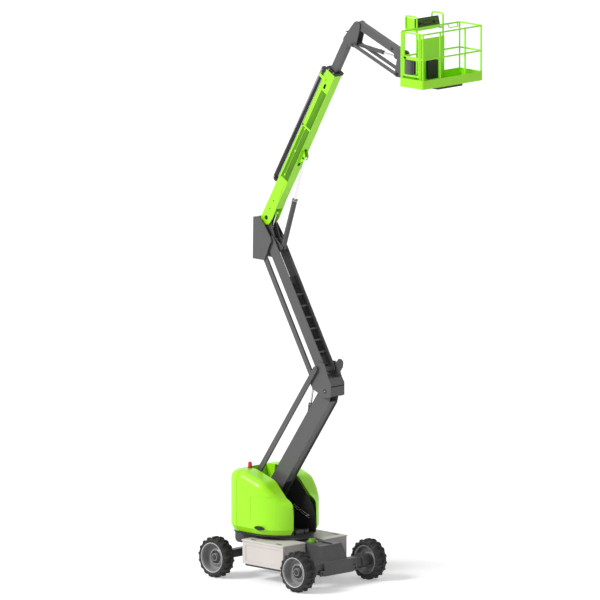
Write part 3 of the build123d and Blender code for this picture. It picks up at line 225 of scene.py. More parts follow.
# Wheels: pneumatic lug tyres on dished steel rims with a bright rolled edge, held by nine nuts round a dark
# cast hub. The tyre is one moulding: ribbed sidewalls, and two staggered rows of slanted lugs over the crown.
joint_of = {j["name"]: j for j in frame["record"]["behaviour"]["joints"]}
pivot = {name: Vector(j["pos_m"]) for name, j in joint_of.items() if "pos_m" in j}
TYRE_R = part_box("drive_tyre_left")[1].z / 2
BEAD_R = 0.300
WALL_Y = 0.142
SIDEWALL = [(BEAD_R + 0.001, WALL_Y - 0.030), (BEAD_R + 0.006, WALL_Y - 0.010), (0.316, WALL_Y - 0.001),
            (0.323, WALL_Y + 0.001), (0.327, WALL_Y + 0.0015), (0.331, WALL_Y), (0.340, WALL_Y - 0.001),
            (0.350, WALL_Y - 0.004), (0.362, WALL_Y - 0.010), (0.372, WALL_Y - 0.024),
            (0.379, WALL_Y - 0.046), (0.381, 0.055), (0.382, 0)]
LUGS_A_ROW = 17
LUG_LEAN = math.tan(math.radians(20))
LUG_DEPTH, LUG_WIDTH, LUG_REACH = 0.048, 0.047, 0.143
LUG_START, LUG_END = 0.004, 0.1445
SHOULDER_START, SHOULDER_RUN, SHOULDER_DROP = 0.094, 0.053, 0.074
NUTS, NUT_CIRCLE_R, DISC_OUT = 9, 0.112, 0.0195
HUB_FLANGE = [(0.080, 0.0175), (0.132, 0.0175), (0.134, 0.0205), (0.131, 0.0225), (0.082, 0.0225),
              (0.080, 0.0175)]
HUB_CAP = [(0, 0.044), (0.068, 0.044), (0.074, 0.049), (0.072, 0.058), (0.050, 0.070), (0.046, 0.078),
           (0.020, 0.082), (0, 0.082)]
RIM_LIP = [(0.288, 0.128), (0.290, 0.1375), (0.2955, 0.1405), (0.302, 0.1395), (0.304, 0.134),
           (0.300, 0.128), (0.288, 0.128)]
TYRE_RUBBER = finish("lugged_tyre_rubber", (0.016, 0.016, 0.016), 0.72, vary=0.2,
                     grain=(160, 0.12), edge=0.005, dust=0.12)
RIM_GREY = finish("rim_grey_paint", (0.27, 0.27, 0.275), 0.33, coat=0.2,
                  worn=(0.4, 0.4, 0.4), dust=0.05)
RIM_EDGE = finish("rim_bright_edge", (0.62, 0.62, 0.63), 0.3, coat=0.2)
HUB_DARK = finish("hub_paint", (0.034, 0.034, 0.036), 0.42, worn=(0.14, 0.14, 0.14), dust=0.1)


def add_lug(mesh):
    """One lug of the upper row: a bar from the middle of the tread, bent over the shoulder and leaned round."""
    middle = Vector((TYRE_R - LUG_DEPTH / 2, 0, LUG_START + LUG_REACH / 2))
    bar = bmesh.ops.create_cube(mesh, size=1.0, matrix=Matrix.Translation(middle)
                                @ Matrix.Diagonal((LUG_DEPTH, LUG_WIDTH, LUG_REACH, 1)))
    long_edges = {e for v in bar["verts"] for e in v.link_edges
                  if abs(e.verts[0].co.z - e.verts[1].co.z) > LUG_REACH / 2}
    bmesh.ops.subdivide_edges(mesh, edges=list(long_edges), cuts=4, use_grid_fill=True)
    crown = [v for v in mesh.verts if v.co.x > middle.x]
    for v in mesh.verts:
        over = max(0.0, v.co.z - SHOULDER_START) / SHOULDER_RUN
        on_top = 1.0 if v in crown else 0.35
        v.co.y = v.co.y * (1.4 - 0.4 * on_top) * (1 - 0.15 * over) + v.co.z * LUG_LEAN
        fall = TYRE_R - math.sqrt(TYRE_R ** 2 - min(abs(v.co.y), 0.2) ** 2)
        v.co.x -= on_top * (SHOULDER_DROP * over ** 2 + fall)
        v.co.z = min(v.co.z, LUG_END)
    mesh.normal_update()
    rim = {e for v in crown for e in v.link_edges if e.other_vert(v) in crown and e.calc_face_angle(0) > 0.7}
    soften(mesh, rim, 0.004, 1)


def add_tyre(name, centre, body):
    """A turned carcass with both rows of lugs set round it."""
    one = bmesh.new()
    add_lug(one)
    lug = bpy.data.meshes.new(f"{name}_lug")
    one.to_mesh(lug)
    one.free()
    mesh = bmesh.new()
    at = seat(centre, (0, 1, 0), (1, 0, 0))
    ring = SIDEWALL + [(r, -z) for r, z in reversed(SIDEWALL[:-1])] + [SIDEWALL[0]]
    turn_profile(mesh, ring, at, 96)
    pitch = 2 * math.pi / LUGS_A_ROW
    for row, start in ((1, 0.25), (-1, 0.75)):
        mirror = Matrix.Diagonal((1, 1, row, 1))
        for i in range(LUGS_A_ROW):
            before = len(mesh.verts)
            mesh.from_mesh(lug)
            mesh.verts.ensure_lookup_table()
            bmesh.ops.transform(mesh, matrix=at @ Matrix.Rotation((start + i) * pitch, 4, "Z") @ mirror,
                                verts=mesh.verts[before:])
    bpy.data.meshes.remove(lug)
    return fit_piece(name, mesh, TYRE_RUBBER, body, 40)


def fit_turned(name, profile, at, steps, material, body):
    """A piece that is one turned form."""
    mesh = bmesh.new()
    turn_profile(mesh, profile, at, steps)
    fit_piece(name, mesh, material, body)


for end in ("drive", "steer"):
    for word, side in (("left", 1), ("right", -1)):
        body = f"{end}_wheel_{word}"
        hub = pivot[f"{body}_spin"]
        on_hub = seat(hub, (0, side, 0))
        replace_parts(add_tyre(f"{body}_tyre", hub, body), f"{end}_tyre_{word}")
        coat_nodes(RIM_GREY, f"{end}_rim_{word}")
        nuts = bmesh.new()
        for i in range(NUTS):
            x, z = on_circle(NUT_CIRCLE_R, 360 * i / NUTS)
            add_bolt(nuts, hub + Vector((x, side * DISC_OUT, z)), (0, side, 0), 0.014, 0.022)
        fit_piece(f"{body}_nuts", nuts, HUB_DARK, body)
        cap = bmesh.new()
        turn_profile(cap, HUB_FLANGE, on_hub, 48)
        turn_profile(cap, HUB_CAP, on_hub, 40)
        fit_piece(f"{body}_hub_cap", cap, HUB_DARK, body)
        fit_turned(f"{body}_lip", RIM_LIP, on_hub, 96, RIM_EDGE, body)

# Battery boxes: two boxes of folded sheet between the axles, powder-coated off-white, under lids that lift
# off. Each lid has two sunk grips, and each side panel is held by a small screw at every corner.
BOX_WHITE = finish("box_powder_coat", (0.66, 0.61, 0.585), 0.5, vary=0.04, grain=(500, 0.03),
                   worn=(0.5, 0.46, 0.43), dust=0.1)
GRIP_BLACK = finish("moulded_black_plastic", (0.014, 0.014, 0.015), 0.5, vary=0.2,
                    grain=(700, 0.08), edge=0.002)
GRIP_X, GRIP_Y = 0.36, 0.80
GRIP_HALF_L, GRIP_HALF_W = 0.075, 0.022
PANEL_SCREW_SPREAD = 1.32


def add_block(mesh, low, high, at=Matrix.Identity(4), round_off=0.003):
    """A block between two corners of a frame, with its edges rounded."""
    size = Vector(high) - Vector(low)
    centre = (Vector(high) + Vector(low)) / 2
    cube = bmesh.ops.create_cube(mesh, size=1.0, matrix=at @ Matrix.Translation(centre)
                                 @ Matrix.Diagonal((*size, 1)))
    soften(mesh, {e for v in cube["verts"] for e in v.link_edges}, min(round_off, min(size) * 0.4))


coat_nodes(BOX_WHITE, "battery_boxes", "battery_lids")
box_low, box_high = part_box("battery_boxes")
lid_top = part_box("battery_lids")[1].z
box_mid_x = (box_low.x + box_high.x) / 2
grips, screws = bmesh.new(), bmesh.new()
for side in (-1, 1):
    for x in (box_mid_x - GRIP_X, box_mid_x + GRIP_X):
        add_block(grips, (x - GRIP_HALF_L, side * GRIP_Y - GRIP_HALF_W, lid_top - 0.004),
                  (x + GRIP_HALF_L, side * GRIP_Y + GRIP_HALF_W, lid_top + 0.003), round_off=0.010)
        for z in (box_low.z + 0.03, box_high.z - 0.035):
            add_bolt(screws, (x * PANEL_SCREW_SPREAD, side * box_high.y, z), (0, side, 0), 0.006, 0.005)
fit_piece("battery_lid_grips", grips, GRIP_BLACK, "chassis")
fit_piece("battery_panel_screws", screws, PIN_STEEL, "chassis")

# Slewing drive: a green cast housing that stands on the deck in front of the ring, held down by six screws.
# Its motor's cable and a brake hose run forward over the deck.
DRIVE_GREEN = finish("drive_green_paint", (0.13, 0.36, 0.004), 0.45, vary=0.2,
                     worn=(0.3, 0.5, 0.1), dust=0.1)
HOSE_BLACK = finish("hose_rubber", (0.011, 0.011, 0.012), 0.55, vary=0.2, grain=(900, 0.1),
                    edge=0.001)
DECK_Z = 0.825
DRIVE_HOUSING = [(0, 0), (0.105, 0), (0.105, 0.012), (0.088, 0.015), (0.082, 0.040), (0.070, 0.052),
                 (0.066, 0.066), (0.040, 0.073), (0, 0.074)]
DRIVE_SCREWS, DRIVE_SCREW_CIRCLE_R = 6, 0.096


def run_hose(name, place, points, radius, material, body):
    """A hose or cable through points of a place's frame, round and closed at its ends."""
    line = bpy.data.curves.new(name, "CURVE")
    line.dimensions = "3D"
    line.bevel_depth = radius
    line.bevel_resolution = 3
    line.resolution_u = 8
    line.use_fill_caps = True
    course = line.splines.new("NURBS")
    course.points.add(len(points) - 1)
    for knot, point in zip(course.points, points):
        knot.co = (*(place @ Vector(point)), 1)
    course.order_u = 3
    course.use_endpoint_u = True
    line.materials.append(material)
    hose = bpy.data.objects.new(name, line)
    bpy.context.scene.collection.objects.link(hose)
    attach(hose, body)


def add_ferrule(mesh, at, along, radius):
    """The crimped steel end of a hose with its union nut."""
    put = seat(at, along)
    crimp = [(0, 0), (1.25, 0), (1.35, 0.003), (1.35, 0.022), (1.2, 0.025), (0.95, 0.026), (0.95, 0.032),
             (0, 0.032)]
    turn_profile(mesh, [(radius * out, h) for out, h in crimp], put, 20)
    bmesh.ops.create_cone(mesh, cap_ends=True, segments=6, radius1=radius * 1.55, radius2=radius * 1.55,
                          depth=0.014, matrix=put @ Matrix.Translation((0, 0, 0.038)))


drive = Matrix.Translation((0.60, -0.05, DECK_Z))
fit_turned("slewing_drive_housing", DRIVE_HOUSING, drive, 48, DRIVE_GREEN, "chassis")
screws = bmesh.new()
for i in range(DRIVE_SCREWS):
    x, y = on_circle(DRIVE_SCREW_CIRCLE_R, 360 * i / DRIVE_SCREWS + 30)
    add_bolt(screws, (x, y, 0.012), (0, 0, 1), 0.006, 0.007, drive)
add_ferrule(screws, drive @ Vector((0.165, 0.0, 0.033)), (-1, 0, 0), 0.010)
fit_piece("slewing_drive_screws", screws, PIN_STEEL, "chassis")
run_hose("slewing_drive_cable", drive, ((0.075, 0, 0.033), (0.17, 0, 0.033), (0.24, 0.01, 0.03),
         (0.30, 0.06, 0.014), (0.36, 0.10, 0.012), (0.44, 0.10, 0.012)), 0.010, HOSE_BLACK, "chassis")
run_hose("slewing_brake_hose", drive, ((0.07, 0.04, 0.045), (0.14, 0.07, 0.045), (0.22, 0.10, 0.02),
         (0.30, 0.13, 0.010), (0.44, 0.13, 0.010)), 0.007, HOSE_BLACK, "chassis")

# Turret deck: thick steel plate with cheeks for the lower arm, in dark satin paint.
# The counterweight is cast iron in the same green as the covers, with a slightly coarser skin. Plugs close
# its two lifting holes, and four plated studs at its back hold it.
DARK_FRAME = finish("turret_dark_paint", (0.030, 0.030, 0.032), 0.45,
                    worn=(0.12, 0.12, 0.12), vary=0.15)
LIME, LIME_WORN = (0.38, 0.93, 0.008), (0.55, 0.98, 0.2)
CAST_GREEN = finish("cast_green_paint", LIME, 0.36, vary=0.04, coat=0.2, worn=LIME_WORN,
                    grain=(90, 0.10), edge=0.008)
LIFTING_PLUG = [(0.0, 0.0), (0.024, 0.0), (0.024, 0.010), (0.016, 0.016), (0, 0.016)]
STUD_Z = 1.20
coat_nodes(DARK_FRAME, "turret_frame")
coat_nodes(CAST_GREEN, "counterweight")
weight_low, weight_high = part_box("counterweight")
lifting = bmesh.new()
for y in (-0.52, 0.52):
    turn_profile(lifting, LIFTING_PLUG, seat((weight_low.x + 0.19, y, weight_high.z - 0.05), (0, 0, 1)), 24)
fit_piece("counterweight_lifting_plugs", lifting, GRIP_BLACK, "turret")
studs = bmesh.new()
for y in (-0.44, -0.34, 0.34, 0.44):
    add_bolt(studs, (weight_low.x + 0.0005, y, STUD_Z), (-1, 0, 0), 0.018, 0.020)
fit_piece("counterweight_studs", studs, PIN_STEEL, "turret")

# Hydraulic and electric units: a black pressed-steel oil tank on one side, a black control case on the other.
# The tank has a filler cap, a sight glass and a motor-pump. Three hoses cross from there to the case, which
# has four cable glands.
UNIT_BLACK = finish("unit_black_paint", (0.020, 0.020, 0.022), 0.4, vary=0.12,
                    worn=(0.1, 0.1, 0.1), grain=(260, 0.03))
AMBER = finish("sight_glass_oil", (0.45, 0.19, 0.02), 0.12, coat=0.5)
FILLER_CAP = [(0, 0), (0.046, 0), (0.050, 0.006), (0.050, 0.020), (0.040, 0.028), (0.036, 0.050), (0, 0.052)]
CABLE_GLAND = [(0, 0), (0.014, 0), (0.014, 0.012), (0.010, 0.020), (0, 0.020)]
MOTOR_PUMP = [(0, 0), (0.070, 0), (0.074, 0.006), (0.074, 0.150), (0.066, 0.160), (0.050, 0.162),
              (0.048, 0.230), (0, 0.232)]
PUMP_HOSE_R = 0.009


def fit_block(name, low, high, material, body, at=Matrix.Identity(4), round_off=0.003):
    """A piece that is one block with rounded edges."""
    mesh = bmesh.new()
    add_block(mesh, low, high, at, round_off)
    fit_piece(name, mesh, material, body)


coat_nodes(UNIT_BLACK, "hydraulic_unit")
unit_low, unit_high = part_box("hydraulic_unit")
caps = bmesh.new()
turn_profile(caps, FILLER_CAP, seat((unit_low.x + 0.12, -0.52, unit_high.z), (0, 0, 1)), 32)
for i in range(4):
    turn_profile(caps, CABLE_GLAND, seat((unit_high.x, 0.42 + 0.06 * i, 1.10), (1, 0, 0)), 20)
fit_piece("filler_cap_and_glands", caps, GRIP_BLACK, "turret")
fit_block("oil_sight_glass", (unit_low.x + 0.28, -0.667, 1.15), (unit_low.x + 0.31, -0.664, 1.30), AMBER,
          "turret", round_off=0.001)
fit_turned("motor_pump", MOTOR_PUMP, seat((-0.02, -0.48, 1.02), (0, 1, 0)), 40, UNIT_BLACK, "turret")
pump_ports = [(-0.42 + 0.03 * i, 1.00 + 0.05 * i) for i in range(3)]
fittings = bmesh.new()
for y, z in pump_ports:
    add_ferrule(fittings, (unit_high.x + 0.040, y, z), (-1, 0, 0), PUMP_HOSE_R)
fit_piece("pump_hose_fittings", fittings, PIN_STEEL, "turret")
for i, (y, z) in enumerate(pump_ports):
    run_hose(f"pump_hose_{i + 1}", Matrix.Identity(4), (
        (unit_high.x, y, z), (unit_high.x + 0.14, y, z), (0.14, y + 0.05, z - 0.02),
        (0.24, -0.10 + 0.03 * i, 0.985 + 0.02 * i), (0.30, 0.16, 0.97 + 0.02 * i),
        (0.16, 0.30, 0.99 + 0.02 * i), (unit_high.x, 0.40 + 0.03 * i, z)), PUMP_HOSE_R, HOSE_BLACK, "turret")

# Side covers: thin glossy green mouldings that swing up on hinges beside the slot.
# Each has an oval black pull latch low down and a rubber bumper at its front corner.
GREEN_PAINT = finish("green_gloss_paint", LIME, 0.32, vary=0.03, coat=0.25, worn=LIME_WORN,
                     grain=(300, 0.012), edge=0.005)
SEAL_RUBBER = finish("seal_rubber", (0.010, 0.010, 0.010), 0.75, vary=0.3,
                     grain=(900, 0.1), edge=0.001)
LATCH_X, LATCH_Z = -0.165, 1.094
LATCH_HALF_L, LATCH_HALF_H = 0.142, 0.042
LATCH_DISH = [(0, 0), (0.042, 0), (0.042, 0.016), (0.038, 0.019), (0.034, 0.016), (0.032, 0.013), (0, 0.013)]
BUMPER = [(0, -0.02), (0.022, -0.02), (0.024, 0), (0.018, 0.014), (0, 0.016)]
BUMPER_X, BUMPER_Y, BUMPER_Z = 0.245, 0.333, 1.00
coat_nodes(GREEN_PAINT, "side_cover_left", "side_cover_right")
cover_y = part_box("side_cover_left")[1].y
for word, side in (("left", 1), ("right", -1)):
    body = f"cover_{word}"
    put = seat((LATCH_X, side * (cover_y - 0.012), LATCH_Z), (0, side, 0), (0, 0, 1))
    stretch = Matrix.Diagonal((LATCH_HALF_L / LATCH_HALF_H, 1, 1, 1))
    latch = bmesh.new()
    turn_profile(latch, LATCH_DISH, Matrix.Identity(4), 48)
    bmesh.ops.transform(latch, matrix=put @ stretch, verts=latch.verts)
    add_block(latch, (-0.06, -0.012, 0.012), (0.06, 0.014, 0.019), put, 0.004)
    fit_piece(f"{body}_latch", latch, GRIP_BLACK, body)
    fit_turned(f"{body}_bumper", BUMPER, seat((BUMPER_X, side * BUMPER_Y, BUMPER_Z), (0, -side, 0)), 24,
               SEAL_RUBBER, body)

# Turret front: painted valve blocks on the deck, a thin dark post, and two plated rods on the left wall.
# The warning lamp is red plastic on a rubber foot on the counterweight, beside the lower link.
RED_PLASTIC = finish("red_plastic", (0.60, 0.012, 0.010), 0.25, coat=0.4, edge=0.002)
SLOT_FLOOR_Z, POST_TOP_Z = 0.940, 1.46
LAMP = [(0, 0), (0.040, 0), (0.041, 0.006), (0.040, 0.090), (0.034, 0.110), (0.018, 0.122), (0, 0.125)]
LAMP_FOOT = [(0, -0.012), (0.048, -0.012), (0.049, -0.004), (0.044, 0.001), (0, 0.001)]
ROD_Y = 0.297


def round_bar(radius, length):
    """The outline of a plain round bar."""
    return [(0, 0), (radius, 0), (radius, length), (0, length)]


post = bmesh.new()
add_block(post, (0.235, -0.245, SLOT_FLOOR_Z), (0.262, -0.218, POST_TOP_Z))
add_block(post, (0.215, -0.262, SLOT_FLOOR_Z), (0.282, -0.200, SLOT_FLOOR_Z + 0.010))
fit_piece("valve_post", post, DARK_FRAME, "turret")
lamp_seat = seat((weight_high.x - 0.052, -0.352, weight_high.z + 0.006), (0, 0, 1))
fit_turned("warning_beacon", LAMP, lamp_seat, 32, RED_PLASTIC, "turret")
fit_turned("beacon_foot", LAMP_FOOT, lamp_seat, 32, GRIP_BLACK, "turret")
valves = bmesh.new()
add_block(valves, (0.17, -0.20, SLOT_FLOOR_Z + 0.005), (0.30, 0.02, SLOT_FLOOR_Z + 0.085), round_off=0.006)
add_block(valves, (0.20, 0.06, SLOT_FLOOR_Z + 0.005), (0.29, 0.17, SLOT_FLOOR_Z + 0.070), round_off=0.006)
fit_piece("manifold_blocks", valves, CHASSIS_GREY, "turret")
stays = bmesh.new()
for drop in (0.0, 0.045):
    low, high = Vector((0.164, ROD_Y, 1.255 - drop)), Vector((-0.260, ROD_Y, 1.430 - drop))
    turn_profile(stays, round_bar(0.007, (high - low).length), seat(low, high - low), 12)
    for at in (low, high):
        turn_profile(stays, round_bar(0.013, 0.013), seat(at, (0, 1, 0)), 16)
fit_piece("cover_stays", stays, PIN_STEEL, "turret")

# Lower arm and its link: a welded box beam in mid grey, open below the front plate, on pins with turned
# black heads. Four hoses run up its left flank under five bolted clamps.
ARM_GREY = finish("arm_grey_paint", (0.099, 0.099, 0.101), 0.4, vary=0.06, coat=0.1,
                  worn=(0.26, 0.26, 0.26), edge=0.005)
PIN_PAINT = finish("pin_black_oxide", (0.024, 0.024, 0.026), 0.38, vary=0.2,
                   worn=(0.15, 0.15, 0.15), edge=0.002)
CLAMPS_AT = (0.55, 1.15, 1.75, 2.35, 2.85)
CLAMP_Z, CLAMP_HALF = 0.03, 0.052
CLAMP_IN, CLAMP_OUT = 0.1205, 0.1505
HOSE_Y = 0.1335


def arm_place(foot, towards):
    """An arm's own frame: X from its foot pin to its top pin, Y to the left, Z off its back."""
    x = (Vector(towards) - Vector(foot)).normalized()
    return Matrix.Translation(foot) @ Matrix((x, (0, 1, 0), (-x.z, 0, x.x))).transposed().to_4x4()


def pin_face(piece, at, side, reach=0.042):
    """How far out a piece's metal lies round a pin's end."""
    return max((v.co.y * side for v in node[piece].data.vertices
                if math.hypot(v.co.x - at.x, v.co.z - at.z) < reach), default=0)


def add_pin_head(mesh, at, side, face, radius):
    """A turned pin head with its centre drilling, on a face at a distance from the middle of the machine."""
    turn_profile(mesh, [(0, 0), (radius, 0), (radius, 0.004), (radius - 0.003, 0.007), (radius * 0.34, 0.007),
                        (radius * 0.2, 0.004), (0, 0.004)],
                 seat((at.x, side * (face - 0.001), at.z), (0, side, 0), (0, 0, 1)), 32)


def add_pin_heads(mesh, piece, at, radius, sides=(-1, 1)):
    """A pin's two heads on a piece's metal."""
    for side in sides:
        add_pin_head(mesh, at, side, pin_face(piece, at, side), radius)


coat_nodes(ARM_GREY, "lower_arm", "lower_link")
lower_foot, lower_top = pivot["riser_lift"], pivot["knuckle_level"]
lower = arm_place(lower_foot, lower_top)
pins = bmesh.new()
add_pin_heads(pins, "turret_frame", lower_foot, 0.044)
add_pin_heads(pins, "turret_frame", pivot["lower_link_swing"], 0.028, sides=(-1,))
fit_piece("riser_foot_pins", pins, PIN_PAINT, "turret")
clamps = bmesh.new()
for x in CLAMPS_AT:
    add_block(clamps, (x - 0.018, CLAMP_IN, CLAMP_Z - CLAMP_HALF), (x + 0.018, CLAMP_OUT, CLAMP_Z + CLAMP_HALF),
              lower, 0.006)
    for step in (-1, 1):
        add_bolt(clamps, (x, CLAMP_OUT, CLAMP_Z + step * (CLAMP_HALF - 0.010)), (0, 1, 0), 0.006, 0.006, lower)
fit_piece("lower_arm_hose_clamps", clamps, PIN_PAINT, "lower_arm")
for i in range(4):
    z = 0.022 * i - 0.002
    run_hose(f"lower_arm_hose_{i + 1}", lower, (
        (0.22, 0.150, z - 0.06), (0.40, 0.134, z - 0.01), *((x, HOSE_Y, z) for x in CLAMPS_AT),
        (3.00, 0.140, z + 0.01)), 0.0095, HOSE_BLACK, "lower_arm")

# Knuckle: two thick plates joined by tubes, carrying the tops of the lower arm and link and the feet of the
# upper pair. Its pins have turned black heads with a plated screw in the middle, and a strip of black rubber
# across the front plate is a painted shadow of the gap line there.
PLATE_OUT = 0.194
FRONT_PLATE_X, STRIP_Z, STRIP_HALF_W, STRIP_HALF_H = 1.2726, 4.072, 0.186, 0.010
coat_nodes(ARM_GREY, "riser_knuckle")
upper_foot = pivot["upper_arm_fold"]
pins, screws = bmesh.new(), bmesh.new()
for at, side in ((lower_top, -1), (lower_top, 1), (upper_foot, 1)):
    add_pin_head(pins, at, side, PLATE_OUT, 0.044)
    add_bolt(screws, (at.x, side * (PLATE_OUT + 0.002), at.z), (0, side, 0), 0.017, 0.004)
fit_piece("knuckle_pins", pins, PIN_PAINT, "riser_knuckle")
fit_piece("knuckle_pin_screws", screws, PIN_STEEL, "riser_knuckle")
# Painted shadow: this black strip stands in for the shadowed gap line across the front plate.
fit_block("knuckle_painted_shadow_strip", (FRONT_PLATE_X - 0.002, -STRIP_HALF_W, STRIP_Z - STRIP_HALF_H),
          (FRONT_PLATE_X + 0.007, STRIP_HALF_W, STRIP_Z + STRIP_HALF_H), SEAL_RUBBER, "riser_knuckle")

# Upper arm and its link: a channel of folded plate in the same grey, open at the front.
# Four hoses lie inside it, held by six steel straps with a screw at each end.
STRAPS_AT = (0.36, 0.62, 0.87, 1.12, 1.37, 1.62)
STRAP_FRONT = -0.066
coat_nodes(ARM_GREY, "upper_arm", "upper_link")
upper_top = pivot["upright_level"]
upper = arm_place(upper_foot, upper_top)
for i in range(4):
    y = -0.045 + 0.030 * i
    run_hose(f"upper_arm_hose_{i + 1}", upper, (
        (0.30, y, -0.010), (0.60, y, -0.040), (1.10, y, -0.045), (1.60, y * 0.8, -0.045), (1.78, y, -0.030),
        (1.88, y, 0)), 0.0105, HOSE_BLACK, "upper_arm")
straps = bmesh.new()
for x in STRAPS_AT:
    add_block(straps, (x - 0.02, -0.131, STRAP_FRONT), (x + 0.02, 0.131, -0.052), upper, 0.005)
    for y in (-0.105, 0.105):
        add_bolt(straps, (x, y, STRAP_FRONT), (0, 0, -1), 0.008, 0.008, upper)
fit_piece("upper_arm_hose_straps", straps, ARM_GREY, "upper_arm")

# Upright: two grey steel plates welded to cross tubes, which carry the boom, its lift cylinder and its
# levelling cylinder. The pins have the same turned heads as the lower arm's.
coat_nodes(ARM_GREY, "upright")
boom_foot = pivot["boom_lift"]
pins = bmesh.new()
for at, radius in ((upper_top, 0.044), (boom_foot, 0.044), (pivot["lift_cylinder_swing"], 0.030)):
    add_pin_heads(pins, "upright", at, radius)
fit_piece("upright_pins", pins, PIN_PAINT, "upright")

# Cylinders: honed barrels in dark paint with a plated gland ring, and chromed rods.
# A steel oil line runs along each barrel between two port blocks.
BARREL_GREY = finish("cylinder_paint", (0.075, 0.075, 0.077), 0.33, coat=0.3,
                     worn=(0.15, 0.15, 0.15))
ROD_CHROME = finish("hard_chrome", (0.80, 0.80, 0.81), 0.10, metal=1.0, vary=0.03,
                    grain=(900, 0.01), edge=0.001)
GLAND_RING = [(-0.010, 0.0), (0.0045, 0.0), (0.0055, 0.004), (0.0055, 0.012), (0.0045, 0.016),
              (-0.010, 0.016), (-0.010, 0.0)]
# For each cylinder: its gland's distance from the foot pin, the barrel's radius, and the oil line's side.
CYLINDERS = {"riser": (0.942, 0.046, 1), "lift": (1.074, 0.054, 1), "level": (0.330, 0.028, -1),
             "jib": (0.765, 0.036, 1)}
for word, (gland, barrel_r, over) in CYLINDERS.items():
    coat_nodes(BARREL_GREY, f"{word}_cylinder_barrel")
    coat_nodes(ROD_CHROME, f"{word}_cylinder_rod")
    body = f"{word}_barrel"
    foot = pivot[f"{word}_cylinder_swing"]
    place = arm_place(foot, foot + Vector(joint_of[f"{word}_cylinder_stroke"]["axis"]))
    low_port, high_port = gland * 0.16 + 0.03, gland - 0.075
    low, high = sorted((over * (barrel_r - 0.006), over * (barrel_r + 0.014)))
    ports = bmesh.new()
    for x in (low_port, high_port):
        add_block(ports, (x - 0.016, -0.014, low), (x + 0.016, 0.014, high), place, 0.003)
    fit_piece(f"{word}_cylinder_ports", ports, BARREL_GREY, body)
    run_hose(f"{word}_cylinder_line", place, [(x, 0, over * (barrel_r + 0.006)) for x in
             (low_port, gland * 0.5, high_port)], 0.005, PIN_STEEL, body)
    fit_turned(f"{word}_cylinder_gland", [(barrel_r + r, h) for r, h in GLAND_RING],
               seat((gland - 0.030, 0, 0), (1, 0, 0), place=place), 40, PIN_STEEL, body)

# Main boom: a four-plate box in green gloss, with flanged flanks whose sunk sheets are painted shade, a deeper,
# dulled green that darkens the recess. An oil line lies in the right flank, and a black nylon collar with
# screwed wear pads closes its mouth.
# Painted shade: the flank sheets' deep green stands in for the shade in the boom's recessed flanks.
FLANK_PAINTED_SHADE = finish("flank_painted_shade_paint", (0.10, 0.31, 0.001), 0.65, vary=0.12,
                     worn=(0.2, 0.45, 0.02))
GREEN_PIPE = finish("pipe_green_paint", (0.30, 0.55, 0.05), 0.35, vary=0.06,
                    worn=(0.5, 0.6, 0.4))
BOOM_LEN, BOOM_HALF_D = 3.640, 0.130
PAD_X = BOOM_LEN + 0.030
FOOT_PLUG = [(0, -0.004), (0.013, -0.004), (0.015, 0.0), (0.010, 0.003), (0, 0.003)]
EYE_PIN_END = [(0, 0), (0.024, 0), (0.024, 0.003), (0.020, 0.005), (0, 0.005)]
EYE_X, EYE_Z = 1.635, -0.203
coat_nodes(GREEN_PAINT, "main_boom")
coat_nodes(GRIP_BLACK, "boom_head")
boom = arm_place(boom_foot, boom_foot + Vector(joint_of["fly_extend"]["axis"]))
pads = bmesh.new()
for side in (-1, 1):
    for z in (-0.07, 0.07):
        add_bolt(pads, (PAD_X, side * 0.1145, z), (0, side, 0), 0.009, 0.008, boom)
    add_bolt(pads, (BOOM_LEN - 0.215, -0.119, side * 0.09), (0, -1, 0), 0.007, 0.007, boom)
    add_bolt(pads, (PAD_X, side * 0.06, BOOM_HALF_D + 0.012), (0, 0, 1), 0.009, 0.008, boom)
fit_piece("boom_wear_pad_screws", pads, PIN_STEEL, "boom")
plugs, sheets, flanges, pins = bmesh.new(), bmesh.new(), bmesh.new(), bmesh.new()
for side in (-1, 1):
    for x, z in ((0.22, 0.01), (0.42, 0.0)):
        turn_profile(plugs, FOOT_PLUG, seat((x, side * 0.1085, z), (0, side, 0), place=boom), 20)
    low, high = sorted((side * 0.1024, side * 0.1036))
    for x0, x1, z1 in ((0.985, 2.235, 0.086), (2.285, 3.180, 0.040)):
        add_block(sheets, (x0, low, -0.121), (x1, high, z1), boom, 0.0005)
    low, high = sorted((side * 0.1020, side * 0.1120))
    for x0, z0, z1 in ((0.960, 0.088, 0.127), (0.960, -0.129, -0.122), (2.245, -0.127, 0.127)):
        add_block(flanges, (x0, low, z0), (2.285, high, z1), boom, 0.003)
    eye_face = pin_face("main_boom", boom @ Vector((EYE_X, 0, EYE_Z)), side, 0.03) - 0.001
    turn_profile(pins, EYE_PIN_END, seat((EYE_X, side * eye_face, EYE_Z), (0, side, 0), place=boom), 24)
fit_piece("boom_foot_plugs", plugs, GRIP_BLACK, "boom")
# The sunk flank sheets carry the painted shade of the recess.
fit_piece("boom_flank_painted_shade", sheets, FLANK_PAINTED_SHADE, "boom")
fit_piece("boom_flanges", flanges, GREEN_PAINT, "boom")
run_hose("boom_oil_line", boom, [(x, -0.1055, 0.006) for x in (1.02, 1.4, 1.9, 2.22)], 0.0122, GREEN_PIPE,
         "boom")
fit_piece("lift_eye_pin_ends", pins, PIN_PAINT, "boom")

